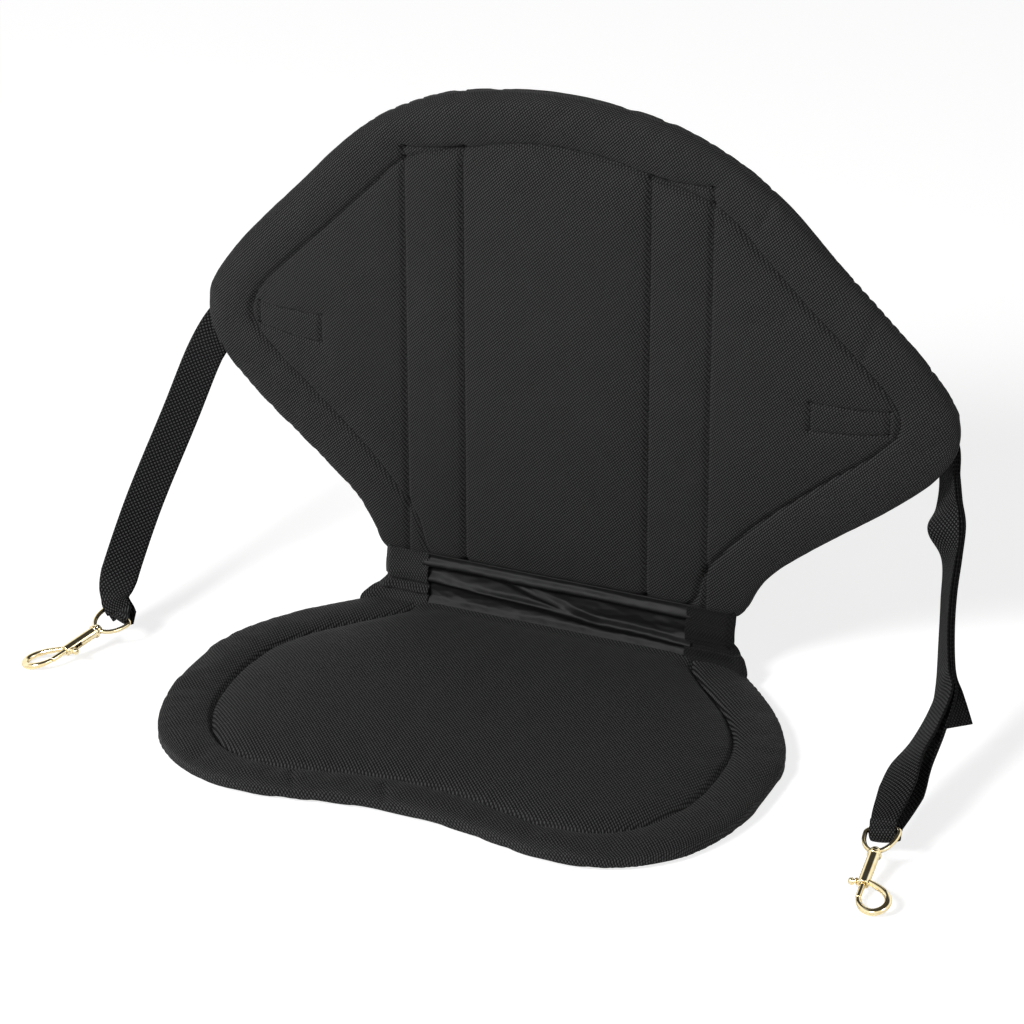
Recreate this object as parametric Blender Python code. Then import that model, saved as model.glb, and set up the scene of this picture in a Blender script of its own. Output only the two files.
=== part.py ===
"""A kayak seat: a padded seat and a winged backrest joined by a cloth hinge, with two webbing
straps that end in brass snap hooks.

The frame is in metres with +Z up. The origin is the middle of the seat's flat underside, +Y
points to the back and +X to the right as the seat is seen from the front.
"""

import math

import bmesh
import bpy
import numpy as np
from mathutils import Matrix, Vector

mm = 0.001
CLEARANCE = 0.3 * mm

# Pads
PAD_THICKNESS = 15 * mm
COVER_CLOTH = 1.0 * mm
EDGE_SEAM_HEIGHT = 6.0 * mm
GROOVE_DEPTH = 3.6 * mm
GROOVE_HALF_WIDTH = 2.2 * mm
GROOVE_REACH = 7.0 * mm
SEAT_SAMPLES = 64
BACK_SAMPLES = 76

# Right-hand half of each outline, from the centre line at the front or foot round to the far one
SEAT_REAR = 138 * mm
SEAT_HALF_WIDTH = 203 * mm
SEAT_CENTRE = (0, 10 * mm)
SEAT_OUTLINE = [
    (0, -112 * mm),
    (40 * mm, -115 * mm),
    (75 * mm, -122 * mm),
    (103 * mm, -126 * mm),
    (134 * mm, -122 * mm),
    (162 * mm, -108 * mm),
    (184 * mm, -84 * mm),
    (199 * mm, -44 * mm),
    (SEAT_HALF_WIDTH, 2 * mm),
    (199 * mm, 40 * mm),
    (184 * mm, 74 * mm),
    (160 * mm, 106 * mm),
    (141 * mm, 126 * mm),
    (133 * mm, 133.5 * mm),
    (126 * mm, 136.8 * mm),
    (118 * mm, SEAT_REAR),
    (80 * mm, SEAT_REAR),
    (0, SEAT_REAR),
]
SEAT_SEAM = [
    (0, -84 * mm),
    (34 * mm, -86 * mm),
    (64 * mm, -93 * mm),
    (90 * mm, -98 * mm),
    (118 * mm, -96 * mm),
    (138 * mm, -86 * mm),
    (154 * mm, -66 * mm),
    (165 * mm, -36 * mm),
    (168 * mm, 4 * mm),
    (163 * mm, 40 * mm),
    (145 * mm, 73 * mm),
    (120 * mm, 101 * mm),
    (104 * mm, 120 * mm),
    (94 * mm, 133 * mm),
    (50 * mm, 134.5 * mm),
    (0, 134.5 * mm),
]

BACK_FRONT = SEAT_REAR - 3 * mm
BACK_REAR = BACK_FRONT + PAD_THICKNESS
BACK_FOOT = 43 * mm
BACK_TOP = 389 * mm
WING_TIP = 266 * mm
BACK_CENTRE = (0, 205 * mm)
BACK_OUTLINE = [
    (0, BACK_FOOT),
    (80 * mm, BACK_FOOT),
    (118 * mm, BACK_FOOT),
    (130 * mm, 47 * mm),
    (140 * mm, 66 * mm),
    (154 * mm, 83 * mm),
    (185 * mm, 108 * mm),
    (224 * mm, 136 * mm),
    (250 * mm, 158 * mm),
    (263 * mm, 178 * mm),
    (WING_TIP, 196 * mm),
    (260 * mm, 215 * mm),
    (240 * mm, 243 * mm),
    (212 * mm, 274 * mm),
    (184 * mm, 303 * mm),
    (152 * mm, 336 * mm),
    (122 * mm, 359 * mm),
    (84 * mm, 377 * mm),
    (42 * mm, 386 * mm),
    (0, BACK_TOP),
]
BACK_SEAM = [
    (0, 47 * mm),
    (60 * mm, 47 * mm),
    (93 * mm, 48 * mm),
    (103 * mm, 72 * mm),
    (117 * mm, 91 * mm),
    (140 * mm, 116 * mm),
    (178 * mm, 148 * mm),
    (213 * mm, 175 * mm),
    (228 * mm, 193 * mm),
    (223 * mm, 214 * mm),
    (196 * mm, 244 * mm),
    (166 * mm, 273 * mm),
    (137 * mm, 303 * mm),
    (108 * mm, 330 * mm),
    (64 * mm, 344 * mm),
    (32 * mm, 352 * mm),
    (0, 354.5 * mm),
]
# The upright seams, either side of a line a little left of the middle
RIB_SHIFT = -3 * mm
RIB_INNER = 65 * mm
RIB_OUTER = 107 * mm
RIB_HALF_WIDTH = 4.5 * mm

# Where the panels are cut into flat faces: the first place and the step, across and along
SEAT_CUTS = (-144 * mm, 48 * mm, -78 * mm, 42 * mm)
BACK_CUTS_ACROSS = (30 * mm, 165 * mm)
BACK_CUTS_ALONG = (86 * mm, 56 * mm)

# The wings sweep back by these amounts beyond each distance from the middle
SWEEP_AT = [0, 106 * mm, 150 * mm, 190 * mm, 230 * mm, 272 * mm]
SWEEP = [0, 1.1 * mm, 3.0 * mm, 6.2 * mm, 11.8 * mm, 20.6 * mm]

# Battens in the channels
STAY_WIDTH = 28 * mm
STAY_THICKNESS = 2 * mm
STAY_FOOT = 62 * mm
STAY_TOP = 318 * mm

# Cloth hinge: points of its cross-section, as distance behind the seat's rear edge and height
HINGE_HALF_WIDTH = 125 * mm
HINGE_CLOTH = 2.2 * mm
HINGE_SECTION = [
    (1.6 * mm, 2.5 * mm),
    (1.6 * mm, 11.5 * mm),
    (-0.6 * mm, 17.5 * mm),
    (1.9 * mm, 23.5 * mm),
    (0.3 * mm, 30.0 * mm),
    (4.0 * mm, 37.0 * mm),
    (4.4 * mm, BACK_FOOT - 3 * mm),
    (4.4 * mm, BACK_FOOT - 0.5 * mm),
]

# Webbing and its adjusters
STRAP_WIDTH = 25.4 * mm
STRAP_SQUEEZED = STRAP_WIDTH - 8 * mm
STRAP_THICKNESS = 1.4 * mm
STRAP_STEP = 8 * mm
TAPE_SAMPLES = 24
RUN_END_LIFT = 1 * mm
LOOP_PLAY = 0.5 * mm
LOCK_LENGTH = 26 * mm
LOCK_BAR = 2.8 * mm
LOCK_MIDDLE = 13 * mm
LOCK_RIM = 3.2 * mm
LOCK_THICKNESS = 3.0 * mm
LOCK_TURN = LOCK_THICKNESS / 2 + CLEARANCE + STRAP_THICKNESS / 2 + 0.7 * mm
FIXED_BEHIND = 0.5 * mm + STRAP_THICKNESS / 2
LAYER = STRAP_THICKNESS + CLEARANCE
# The straight run of the tape behind a wing: where it is sewn and where it ends, across and up,
# and how far along it the lock lies
RUN_START = (178 * mm, 200 * mm)
RUN_END = (234 * mm, 198 * mm)
RUN_LOCK = 24 * mm

# Snap hooks, along their own axis from the bar of the eye
EYE_WIRE = 1.5 * mm
EYE_HALF_WIDTH = STRAP_SQUEEZED / 2 + 2.3 * mm
EYE_CORNER = 3 * mm
EYE_LENGTH = 19.5 * mm
BOSS_RADIUS = 3.5 * mm
BARREL_START = 21.3 * mm
BARREL_END = 48.5 * mm
BARREL_RADIUS = 3.7 * mm
COLLAR_RADIUS = 4.6 * mm
COLLAR_LENGTH = 2.4 * mm
BORE_RADIUS = 2.2 * mm
STEM_RADIUS = 1.2 * mm
HEAD_RADIUS = 1.85 * mm
HEAD_LENGTH = 1.3 * mm
END_WALL = 2.2 * mm
BOLT_RADIUS = 1.85 * mm
BOLT_REAR = 40 * mm
BOLT_TIP = 60.4 * mm
BOLT_TRAVEL = 8 * mm
KNOB_AT = 45.5 * mm
KNOB_NECK = 1.0 * mm
KNOB_REACH = 10 * mm
KNOB_RADIUS = 2.3 * mm
LOOP_CENTRE = (61 * mm, 9.6 * mm)
LOOP_RADII = (10.8 * mm, 9.1 * mm)
LOOP_WIRE = 2.2 * mm
SPRING_RADIUS = 1.45 * mm
SPRING_WIRE = 0.25 * mm
SPRING_TURNS = 7

# Places on the straps and hooks are given as distance out from the wing's tip, distance behind the
# backrest's rear face, and height. Each hook has the middle of its eye's bar, the way it points,
# the way its loop bulges and the way the bar runs.
HOOKS = {
    "left": (
        (4.1 * mm, -124.6 * mm, 18.9 * mm),
        (-0.36, -0.91, -0.195),
        (-0.90, 0.40, -0.19),
        (-0.93, 0.32, 0.20),
    ),
    "right": (
        (23 * mm, -183.6 * mm, 18.4 * mm),
        (0.07, -0.96, -0.245),
        (0.98, 0.02, 0.22),
        (-0.98, -0.02, -0.22),
    ),
}
# Each strap's front leg from the eye up to its run behind the wing: a place, the way the width
# runs, how far behind it the other leg is, and the turn of a bulge about the leg's near edge
STRAP_ROUTES = {
    "left": [
        ((10.7 * mm, -119.6 * mm, 28 * mm), (-0.92, -0.10, 0.22), 8.8 * mm, 0),
        ((11 * mm, -110 * mm, 41 * mm), (-0.90, -0.30, 0.28), 4.5 * mm, 0),
        ((13 * mm, -68 * mm, 76 * mm), (-0.89, -0.30, 0.35), 2.4 * mm, 0),
        ((9 * mm, -20 * mm, 121 * mm), (-0.89, -0.29, 0.36), 1.9 * mm, 0),
        ((4 * mm, 12 * mm, 157 * mm), (-0.88, -0.24, 0.38), 1.9 * mm, 0),
        ((-10 * mm, 20 * mm, 182 * mm), (-0.80, 0.00, 0.60), 1.9 * mm, 0),
    ],
    "right": [
        ((22 * mm, -179.6 * mm, 25 * mm), (-0.98, -0.02, -0.22), 11.5 * mm, 0),
        ((20 * mm, -150 * mm, 31 * mm), (-0.93, 0.10, -0.36), 12 * mm, 0),
        ((17.5 * mm, -126 * mm, 35 * mm), (-0.83, 0.12, -0.54), 10 * mm, 0),
        ((19.5 * mm, -98 * mm, 39 * mm), (-0.71, 0.17, -0.68), 6 * mm, 0),
        ((20 * mm, -68 * mm, 48 * mm), (-0.60, 0.20, -0.76), 3.2 * mm, 0),
        ((15.5 * mm, -52 * mm, 56 * mm), (-0.44, 0.43, -0.79), 2.2 * mm, 0),
        ((9 * mm, -33 * mm, 74 * mm), (-0.41, 0.61, -0.68), 1.9 * mm, 0),
        ((4 * mm, -16 * mm, 93 * mm), (-0.44, 0.67, -0.60), 1.9 * mm, 0),
        ((1.5 * mm, -1 * mm, 113 * mm), (-0.46, 0.68, -0.57), 1.9 * mm, 6),
        ((-1 * mm, 10 * mm, 129 * mm), (-0.49, 0.66, -0.57), 1.9 * mm, 36),
        ((-7 * mm, 18 * mm, 142 * mm), (-0.54, 0.66, -0.50), 1.9 * mm, 10),
        ((-12 * mm, 25 * mm, 158 * mm), (-0.63, 0.73, -0.22), 1.9 * mm, 0),
        ((-18 * mm, 26 * mm, 182 * mm), (-0.60, 0.55, -0.50), 1.9 * mm, 0),
    ],
}
# The loop at each eye: its radius, and how far round from the pull of the strap the bar lies in it
LOOPS = {"left": (4.8 * mm, 30), "right": (6 * mm, 70)}
# The loose end: how many keys of the route it follows back down, and the keys where it hangs free
TAIL_KEYS = {"left": 2, "right": 8}
TAIL_ENDS = {
    "left": [],
    "right": [
        ((23.5 * mm, -57 * mm, 45 * mm), (-0.60, 0.34, -0.72)),
        ((31 * mm, -63 * mm, 29 * mm), (-0.74, 0.33, -0.59)),
    ],
}

COLOURS = {
    "twill": ((0.020, 0.020, 0.021), 0.85, 0.0),
    "underside": ((0.017, 0.017, 0.018), 0.95, 0.0),
    "lining": ((0.018, 0.018, 0.020), 0.55, 0.0),
    "foam": ((0.05, 0.05, 0.055), 0.9, 0.0),
    "webbing": ((0.010, 0.010, 0.011), 0.75, 0.0),
    "plastic": ((0.015, 0.015, 0.016), 0.45, 0.0),
    "batten": ((0.55, 0.56, 0.56), 0.5, 0.0),
    "brass": ((0.83, 0.68, 0.36), 0.2, 1.0),
    "steel": ((0.55, 0.55, 0.56), 0.3, 1.0),
}


def clear_scene():
    for obj in list(bpy.data.objects):
        bpy.data.objects.remove(obj, do_unlink=True)


def add_object(name, mesh_builder, material, smooth_angle=40):
    """Makes one named object with its own material from a bmesh."""
    mesh = bpy.data.meshes.new(name)
    bmesh.ops.recalc_face_normals(mesh_builder, faces=mesh_builder.faces)
    mesh_builder.to_mesh(mesh)
    mesh_builder.free()
    obj = bpy.data.objects.new(name, mesh)
    bpy.context.scene.collection.objects.link(obj)
    colour, roughness, metallic = COLOURS[material]
    skin = bpy.data.materials.new(f"{name}_{material}")
    skin.use_nodes = True
    shader = skin.node_tree.nodes["Principled BSDF"]
    shader.inputs["Base Color"].default_value = (*colour, 1)
    shader.inputs["Roughness"].default_value = roughness
    shader.inputs["Metallic"].default_value = metallic
    mesh.materials.append(skin)
    mesh.shade_smooth()
    mesh.set_sharp_from_angle(angle=math.radians(smooth_angle))
    return obj


def spline(points, per_span, closed=False):
    """A Catmull-Rom curve through the points."""
    points = np.array(points, float)
    count = len(points)
    if closed:
        ring = np.vstack([points[-1], points, points[:2]])
    else:
        ring = np.vstack([2 * points[0] - points[1], points, 2 * points[-1] - points[-2]])
        count -= 1
    t = np.linspace(0, 1, per_span, endpoint=False)[:, None]
    curve = []
    for i in range(count):
        a, b, c, d = ring[i : i + 4]
        bend = (2 * a - 5 * b + 4 * c - d) * t**2 + (3 * b - a - 3 * c + d) * t**3
        curve.append(0.5 * (2 * b + (c - a) * t + bend))
    if not closed:
        curve.append(points[-1:])
    return np.vstack(curve)


class Outline:
    """A closed outline read by its angle round a centre, so that it can be drawn in evenly."""

    def __init__(self, right_half, centre):
        left_half = [(-x, y) for x, y in reversed(right_half[1:-1])]
        self.centre = np.array(centre)
        self.curve = spline(right_half + left_half, 16, closed=True)
        arms = self.curve - self.centre
        angle = np.unwrap(np.arctan2(arms[:, 1], arms[:, 0]))
        order = np.argsort(angle)
        self.angle = angle[order]
        self.length = np.linalg.norm(arms, axis=1)[order]

    def angles(self, count):
        """Angles of points that are evenly spaced along the outline."""
        closed = np.vstack([self.curve, self.curve[:1]])
        run = np.concatenate([[0], np.cumsum(np.linalg.norm(np.diff(closed, axis=0), axis=1))])
        at = np.linspace(0, run[-1], count, endpoint=False)
        arms = np.stack([np.interp(at, run, closed[:, k]) for k in (0, 1)], 1) - self.centre
        return np.arctan2(arms[:, 1], arms[:, 0])

    def radius(self, theta):
        return np.interp(theta, self.angle, self.length, period=2 * math.pi)

    def reach(self, theta, distance):
        """How far along each arm a given distance square to the outline is."""
        small = 0.02
        slope = (self.radius(theta + small) - self.radius(theta - small)) / (2 * small)
        return distance * np.minimum(np.hypot(1, slope / self.radius(theta)), 1.6)


class Pad:
    """A padded panel between a top cloth and a bottom cloth, with a sewn groove inside its border.

    Its own coordinates are across, along and height, with height 0 on its flat side.
    """

    def __init__(self, outline, seam, centre, samples):
        self.outline = Outline(outline, centre)
        self.seam = Outline(seam, centre)
        self.centre = np.array(centre)
        self.theta = self.outline.angles(samples)

    def ring(self, radii, height):
        across = self.centre[0] + radii * np.cos(self.theta)
        along = self.centre[1] + radii * np.sin(self.theta)
        return np.stack([across, along, np.broadcast_to(height, radii.shape)], 1)

    def inward(self, distance):
        """The edge's radii, drawn in by a distance."""
        return self.outline.radius(self.theta) - self.outline.reach(self.theta, distance)

    def off_seam(self, distance):
        """How far along each arm a given distance from the seam is."""
        return self.seam.reach(self.theta, distance)

    def top_rings(self, inset):
        """Rings from the edge seam up over the border and down into the groove, then the panel's edge.

        inset is how far this skin lies inside the pad's outer surface.
        """
        seam = self.seam.radius(self.theta)
        edge = self.inward(inset)
        border = edge - seam
        fullness = np.clip((self.inward(0) - seam) / (18 * mm), 0.15, 1)
        groove = PAD_THICKNESS - GROOVE_DEPTH
        crest = groove + (GROOVE_DEPTH - 0.2 * mm) * fullness
        shoulder = groove + 1.1 * mm * np.minimum(fullness, 0.8)
        rounding = np.minimum(edge - self.inward(inset + 2.4 * mm), 0.2 * border)
        to_crest = np.minimum(edge - self.inward(inset + 9 * mm), 0.45 * border)
        return [
            self.ring(edge, EDGE_SEAM_HEIGHT + CLEARANCE),
            self.ring(edge, 8.2 * mm - 0.3 * inset),
            self.ring(edge - rounding, groove + 1.0 * mm * fullness - inset),
            self.ring(edge - to_crest, crest - inset),
            self.ring(
                seam + np.minimum(self.off_seam(GROOVE_REACH), 0.4 * border),
                crest - 0.8 * mm * fullness - inset,
            ),
            self.ring(seam + np.minimum(self.off_seam(GROOVE_HALF_WIDTH), 0.2 * border), shoulder - inset),
            self.ring(seam, groove - inset),
            self.ring(seam - self.off_seam(GROOVE_HALF_WIDTH), groove + 1.1 * mm - inset),
            self.ring(seam - self.off_seam(GROOVE_REACH), PAD_THICKNESS - 1.0 * mm - inset),
        ]

    def bottom_rings(self, inset):
        """Rings from the edge seam down to the flat underside."""
        return [
            self.ring(self.inward(inset), EDGE_SEAM_HEIGHT),
            self.ring(self.inward(inset + 0.5 * mm), max(3.0 * mm, inset + 2.0 * mm)),
            self.ring(self.inward(inset + 2.2 * mm), inset + 0.7 * mm),
            self.ring(self.inward(inset + 5.0 * mm), inset),
        ]


def add_rings(builder, rings):
    """Joins rings of points with strips of faces, and returns their vertices."""
    rows = [[builder.verts.new(p) for p in ring] for ring in rings]
    for low, high in zip(rows, rows[1:]):
        for i in range(len(low)):
            j = (i + 1) % len(low)
            builder.faces.new((low[i], low[j], high[j]))
            builder.faces.new((low[i], high[j], high[i]))
    return rows


def cut_lines(builder, faces, lines_across, lines_along):
    """Cuts a flat panel along straight lines, so that it can be shaped."""
    for axis, places in ((0, lines_across), (1, lines_along)):
        normal = Vector((1, 0, 0)) if axis == 0 else Vector((0, 1, 0))
        for place in places:
            geom = [*faces, *{e for f in faces for e in f.edges}]
            cut = bmesh.ops.bisect_plane(
                builder, geom=geom, dist=0.8 * mm, plane_co=normal * place, plane_no=normal
            )
            faces = [g for g in cut["geom"] if isinstance(g, bmesh.types.BMFace)]
    return faces


def top_skin(builder, pad, inset, panel_height, lines):
    """One face of a padded cloth, from the edge seam to the middle of its panel. Returns its rings."""
    rows = add_rings(builder, pad.top_rings(inset))
    panel = builder.faces.new(rows[-1])
    edge = set(rows[-1])
    faces = cut_lines(builder, [panel], *lines)
    inside = set(faces)
    for vert in {v for f in faces for v in f.verts} - edge:
        if all(f in inside for f in vert.link_faces):
            vert.co.z = panel_height(vert.co.x, vert.co.y) - inset
    bmesh.ops.triangulate(builder, faces=faces, quad_method="FIXED", ngon_method="EAR_CLIP")
    return rows


def bottom_skin(builder, pad, inset):
    rows = add_rings(builder, pad.bottom_rings(inset))
    builder.faces.new(rows[-1])
    return rows


def close_rim(builder, ring_a, ring_b):
    for i in range(len(ring_a)):
        j = (i + 1) % len(ring_a)
        builder.faces.new((ring_a[i], ring_a[j], ring_b[j], ring_b[i]))


def cover(pad, skin, *details):
    """A cloth cover: an outer and an inner skin joined at the edge seam."""
    builder = bmesh.new()
    outer = skin(builder, pad, 0, *details)
    inner = skin(builder, pad, COVER_CLOTH, *details)
    close_rim(builder, outer[0], inner[0])
    return builder


def foam(pad, *details):
    """The filling, a clearance inside the two cloths."""
    builder = bmesh.new()
    inset = COVER_CLOTH + CLEARANCE
    top = top_skin(builder, pad, inset, *details)
    bottom = bottom_skin(builder, pad, inset)
    close_rim(builder, top[0], bottom[0])
    return builder


def seat_height(across, along):
    """Height of the seat's middle panel."""
    return PAD_THICKNESS + 0.6 * mm


def rib_places():
    return [RIB_SHIFT + rib for rib in (-RIB_OUTER, -RIB_INNER, RIB_INNER, RIB_OUTER)]


def rib_height(across, along):
    """Height of the backrest's middle panel: full pads between four upright seams."""
    near = min(abs(across - rib) for rib in rib_places())
    return PAD_THICKNESS + 0.4 * mm - max(0.0, 1 - near / RIB_HALF_WIDTH) * (GROOVE_DEPTH - 0.6 * mm)


def sweep(across):
    return float(np.interp(abs(across), SWEEP_AT, SWEEP))


def stand_up(builder):
    """Turns a backrest piece from its own flat coordinates to its place, with the wings swept back."""
    bmesh.ops.triangulate(builder, faces=builder.faces[:], quad_method="FIXED", ngon_method="EAR_CLIP")
    for place in SWEEP_AT[1:-1]:
        for side in (-place, place):
            bmesh.ops.bisect_plane(
                builder,
                geom=builder.verts[:] + builder.edges[:] + builder.faces[:],
                dist=0.02 * mm,
                plane_co=(side, 0, 0),
                plane_no=(1, 0, 0),
            )
    for vert in builder.verts:
        across, along, height = vert.co
        vert.co = (across, BACK_REAR - height + sweep(across), along)


def box(builder, low, high):
    centre = (Vector(low) + Vector(high)) / 2
    size = Vector(high) - Vector(low)
    place = Matrix.Translation(centre) @ Matrix.Diagonal((*size, 1))
    return bmesh.ops.create_cube(builder, size=1, matrix=place)


def round_off(builder, edges, radius, segments):
    bmesh.ops.bevel(
        builder, geom=edges, offset=radius, segments=segments, profile=0.5, affect="EDGES", material=-1
    )


def boolean(obj, other, operation):
    """Cuts or joins another object into this one for good, and removes the other."""
    modifier = obj.modifiers.new(operation, "BOOLEAN")
    modifier.operation = operation
    modifier.object = other
    bpy.context.view_layer.update()
    graph = bpy.context.evaluated_depsgraph_get()
    result = bpy.data.meshes.new_from_object(obj.evaluated_get(graph))
    obj.modifiers.clear()
    obj.data = result
    bpy.data.objects.remove(other, do_unlink=True)


def helper(builder):
    """A hidden object for a Boolean."""
    mesh = bpy.data.meshes.new("helper")
    bmesh.ops.recalc_face_normals(builder, faces=builder.faces)
    builder.to_mesh(mesh)
    builder.free()
    obj = bpy.data.objects.new("helper", mesh)
    bpy.context.scene.collection.objects.link(obj)
    obj.hide_render = True
    obj.display_type = "WIRE"
    return obj


def remake(obj, change):
    """Changes an object's mesh through a bmesh."""
    builder = bmesh.new()
    builder.from_mesh(obj.data)
    change(builder)
    builder.to_mesh(obj.data)
    builder.free()


def make_seat():
    pad = Pad(SEAT_OUTLINE, SEAT_SEAM, SEAT_CENTRE, SEAT_SAMPLES)
    first_across, step_across, first_along, step_along = SEAT_CUTS
    lines = (
        [first_across + k * step_across for k in range(7)],
        [first_along + k * step_along for k in range(5)],
    )
    add_object("seat_top_cover", cover(pad, top_skin, seat_height, lines), "twill")
    add_object("seat_foam", foam(pad, seat_height, lines), "foam")
    add_object("seat_bottom_cover", cover(pad, bottom_skin), "underside")


def make_backrest():
    pad = Pad(BACK_OUTLINE, BACK_SEAM, BACK_CENTRE, BACK_SAMPLES)
    across = [side * place for side in (-1, 1) for place in BACK_CUTS_ACROSS]
    for rib in rib_places():
        across += [rib - RIB_HALF_WIDTH, rib, rib + RIB_HALF_WIDTH]
    first_along, step_along = BACK_CUTS_ALONG
    lines = (sorted(across), [first_along + k * step_along for k in range(5)])
    front = add_object("backrest_front_cover", cover(pad, top_skin, rib_height, lines), "twill")
    rear = add_object("backrest_rear_cover", cover(pad, bottom_skin), "underside")
    filling = add_object("backrest_foam", foam(pad, rib_height, lines), "foam")
    low, high = COVER_CLOTH + CLEARANCE, COVER_CLOTH + CLEARANCE + STAY_THICKNESS
    for side, sign in (("left", -1), ("right", 1)):
        middle = RIB_SHIFT + sign * (RIB_INNER + RIB_OUTER) / 2
        pocket = bmesh.new()
        half = STAY_WIDTH / 2 + CLEARANCE
        foot, top = STAY_FOOT - CLEARANCE, STAY_TOP + CLEARANCE
        box(pocket, (middle - half, foot, 0), (middle + half, top, high + CLEARANCE))
        boolean(filling, helper(pocket), "DIFFERENCE")
        stay = bmesh.new()
        half = STAY_WIDTH / 2
        box(stay, (middle - half, STAY_FOOT, low), (middle + half, STAY_TOP, high))
        corners = [e for e in stay.edges if abs(e.verts[0].co.z - e.verts[1].co.z) > 0.5 * mm]
        round_off(stay, corners, 8 * mm, 4)
        remake(add_object(f"{side}_back_stay", stay, "batten"), stand_up)
    for obj in (front, rear, filling):
        remake(obj, stand_up)


def make_hinge():
    """The cloth between seat and backrest, folded along its length."""
    builder = bmesh.new()
    centre = spline(HINGE_SECTION, 3)
    along = np.gradient(centre, axis=0)
    along /= np.linalg.norm(along, axis=1)[:, None]
    square = np.stack([along[:, 1], -along[:, 0]], 1) * HINGE_CLOTH / 2
    section = np.vstack([centre + square, (centre - square)[::-1]])
    ends = []
    for side in (-HINGE_HALF_WIDTH, HINGE_HALF_WIDTH):
        ends.append([builder.verts.new((side, SEAT_REAR + y, z)) for y, z in section])
    builder.faces.new(ends[0])
    builder.faces.new(ends[1][::-1])
    for i in range(len(section)):
        j = (i + 1) % len(section)
        builder.faces.new((ends[0][i], ends[1][i], ends[1][j], ends[0][j]))
    add_object("hinge_band", builder, "lining")


def unit(vector):
    vector = np.asarray(vector, float)
    return vector / np.linalg.norm(vector)


def frames_along(points, widths):
    """Tangent, width and face directions along a route."""
    tangents = np.gradient(points, axis=0)
    tangents /= np.linalg.norm(tangents, axis=1)[:, None]
    widths = widths - tangents * (widths * tangents).sum(1)[:, None]
    widths /= np.linalg.norm(widths, axis=1)[:, None]
    return tangents, widths, np.cross(tangents, widths)


class Run:
    """The straight run of the webbing behind one wing."""

    def __init__(self, side):
        sign = -1 if side == "left" else 1
        (x0, z0), (x1, z1) = RUN_START, RUN_END
        self.start = np.array([sign * x0, BACK_REAR + sweep(x0), z0])
        end = np.array([sign * x1, BACK_REAR + sweep(x1), z1])
        self.length = float(np.linalg.norm(end - self.start))
        self.along = unit(end - self.start)
        self.width = unit(np.cross(self.along, (0, -1, 0)))
        self.out = np.cross(self.along, self.width)

    def at(self, distance, behind):
        return self.start + self.along * distance + self.out * behind


def half_turn(centre, start, towards, width, steps):
    """Keys round a half circle, from centre + start by way of centre + towards."""
    turn = np.linspace(0, math.pi, steps)
    return [(centre + start * math.cos(a) + towards * math.sin(a), width) for a in turn]


def from_wing(side, place):
    """A place that is given out from the wing's tip, behind the backrest, and up."""
    out, behind, up = place
    sign = -1 if side == "left" else 1
    return np.array([sign * (WING_TIP + out), BACK_REAR + behind, up])


def hook_basis(side):
    """The hook's pivot, its axis, the way its loop bulges and the way the bar of its eye runs."""
    pivot, axis, *across = (np.array(v, float) for v in HOOKS[side])
    pivot = from_wing(side, pivot)
    axis = unit(axis)
    bulge, bar = (unit(v - axis * np.dot(v, axis)) for v in across)
    return pivot, axis, bulge, bar


def make_strap(side):
    """One strap: sewn to the wing, down through the hook's eye and back up through the adjuster."""
    run = Run(side)
    pivot, _, _, bar = hook_basis(side)
    route = np.array([from_wing(side, key[0]) for key in STRAP_ROUTES[side]])
    gaps = np.array([key[2] for key in STRAP_ROUTES[side]])[:, None]
    ends = np.vstack([pivot, route, run.at(run.length, FIXED_BEHIND)])
    widths = np.array([bar] + [key[1] for key in STRAP_ROUTES[side]] + [run.width], float)
    _, widths, faces = (v[1:-1] for v in frames_along(ends, widths))
    front = []
    for point, width, face, (_, _, _, swing) in zip(route, widths, faces, STRAP_ROUTES[side]):
        turned = width * math.cos(math.radians(swing)) + face * math.sin(math.radians(swing))
        front.append((point + (turned - width) * STRAP_WIDTH / 2, turned))
    rear = list(zip(route - faces * gaps, widths))
    loose = list(zip(route - faces * (gaps + LAYER), widths))
    rise = route[0] - faces[0] * gaps[0] / 2 - pivot
    up = unit(rise - bar * np.dot(rise, bar))
    face = np.cross(up, bar)
    radius, slack = LOOPS[side]
    pull = up * math.cos(math.radians(slack)) - face * math.sin(math.radians(slack))
    centre = pivot + pull * (radius - STRAP_THICKNESS / 2 - EYE_WIRE - LOOP_PLAY)
    loop = half_turn(centre, face * radius, -up * radius, bar, 7)
    middle = RUN_LOCK + LOCK_MIDDLE
    lock = FIXED_BEHIND + LAYER + LOCK_TURN
    round_bar = half_turn(
        run.at(middle, lock), -run.out * LOCK_TURN, -run.along * LOCK_TURN, run.width, 7
    )
    past = (middle + 7 * mm, RUN_LOCK + LOCK_LENGTH + 2 * mm)
    keys = [(run.at(d, FIXED_BEHIND), run.width) for d in (0, run.length / 2, run.length - 8 * mm)]
    keys += [(run.at(run.length, FIXED_BEHIND + RUN_END_LIFT), run.width)]
    keys += front[::-1] + loop + rear
    keys += [(run.at(run.length, FIXED_BEHIND + LAYER + RUN_END_LIFT), run.width)]
    keys += [(run.at(middle + 5 * mm, lock - LOCK_TURN), run.width)] + round_bar
    keys += [(run.at(d, lock + LOCK_TURN), run.width) for d in past]
    keys += loose[::-1][: TAIL_KEYS[side]]
    keys += [(from_wing(side, place), np.array(width)) for place, width in TAIL_ENDS[side]]
    first_loop = 4 + len(front)
    wide = [STRAP_WIDTH] * len(keys)
    wide[first_loop - 1 : first_loop + len(loop) + 1] = [STRAP_SQUEEZED] * (len(loop) + 2)
    add_object(f"{side}_strap", tape(keys, wide), "webbing")


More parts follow.
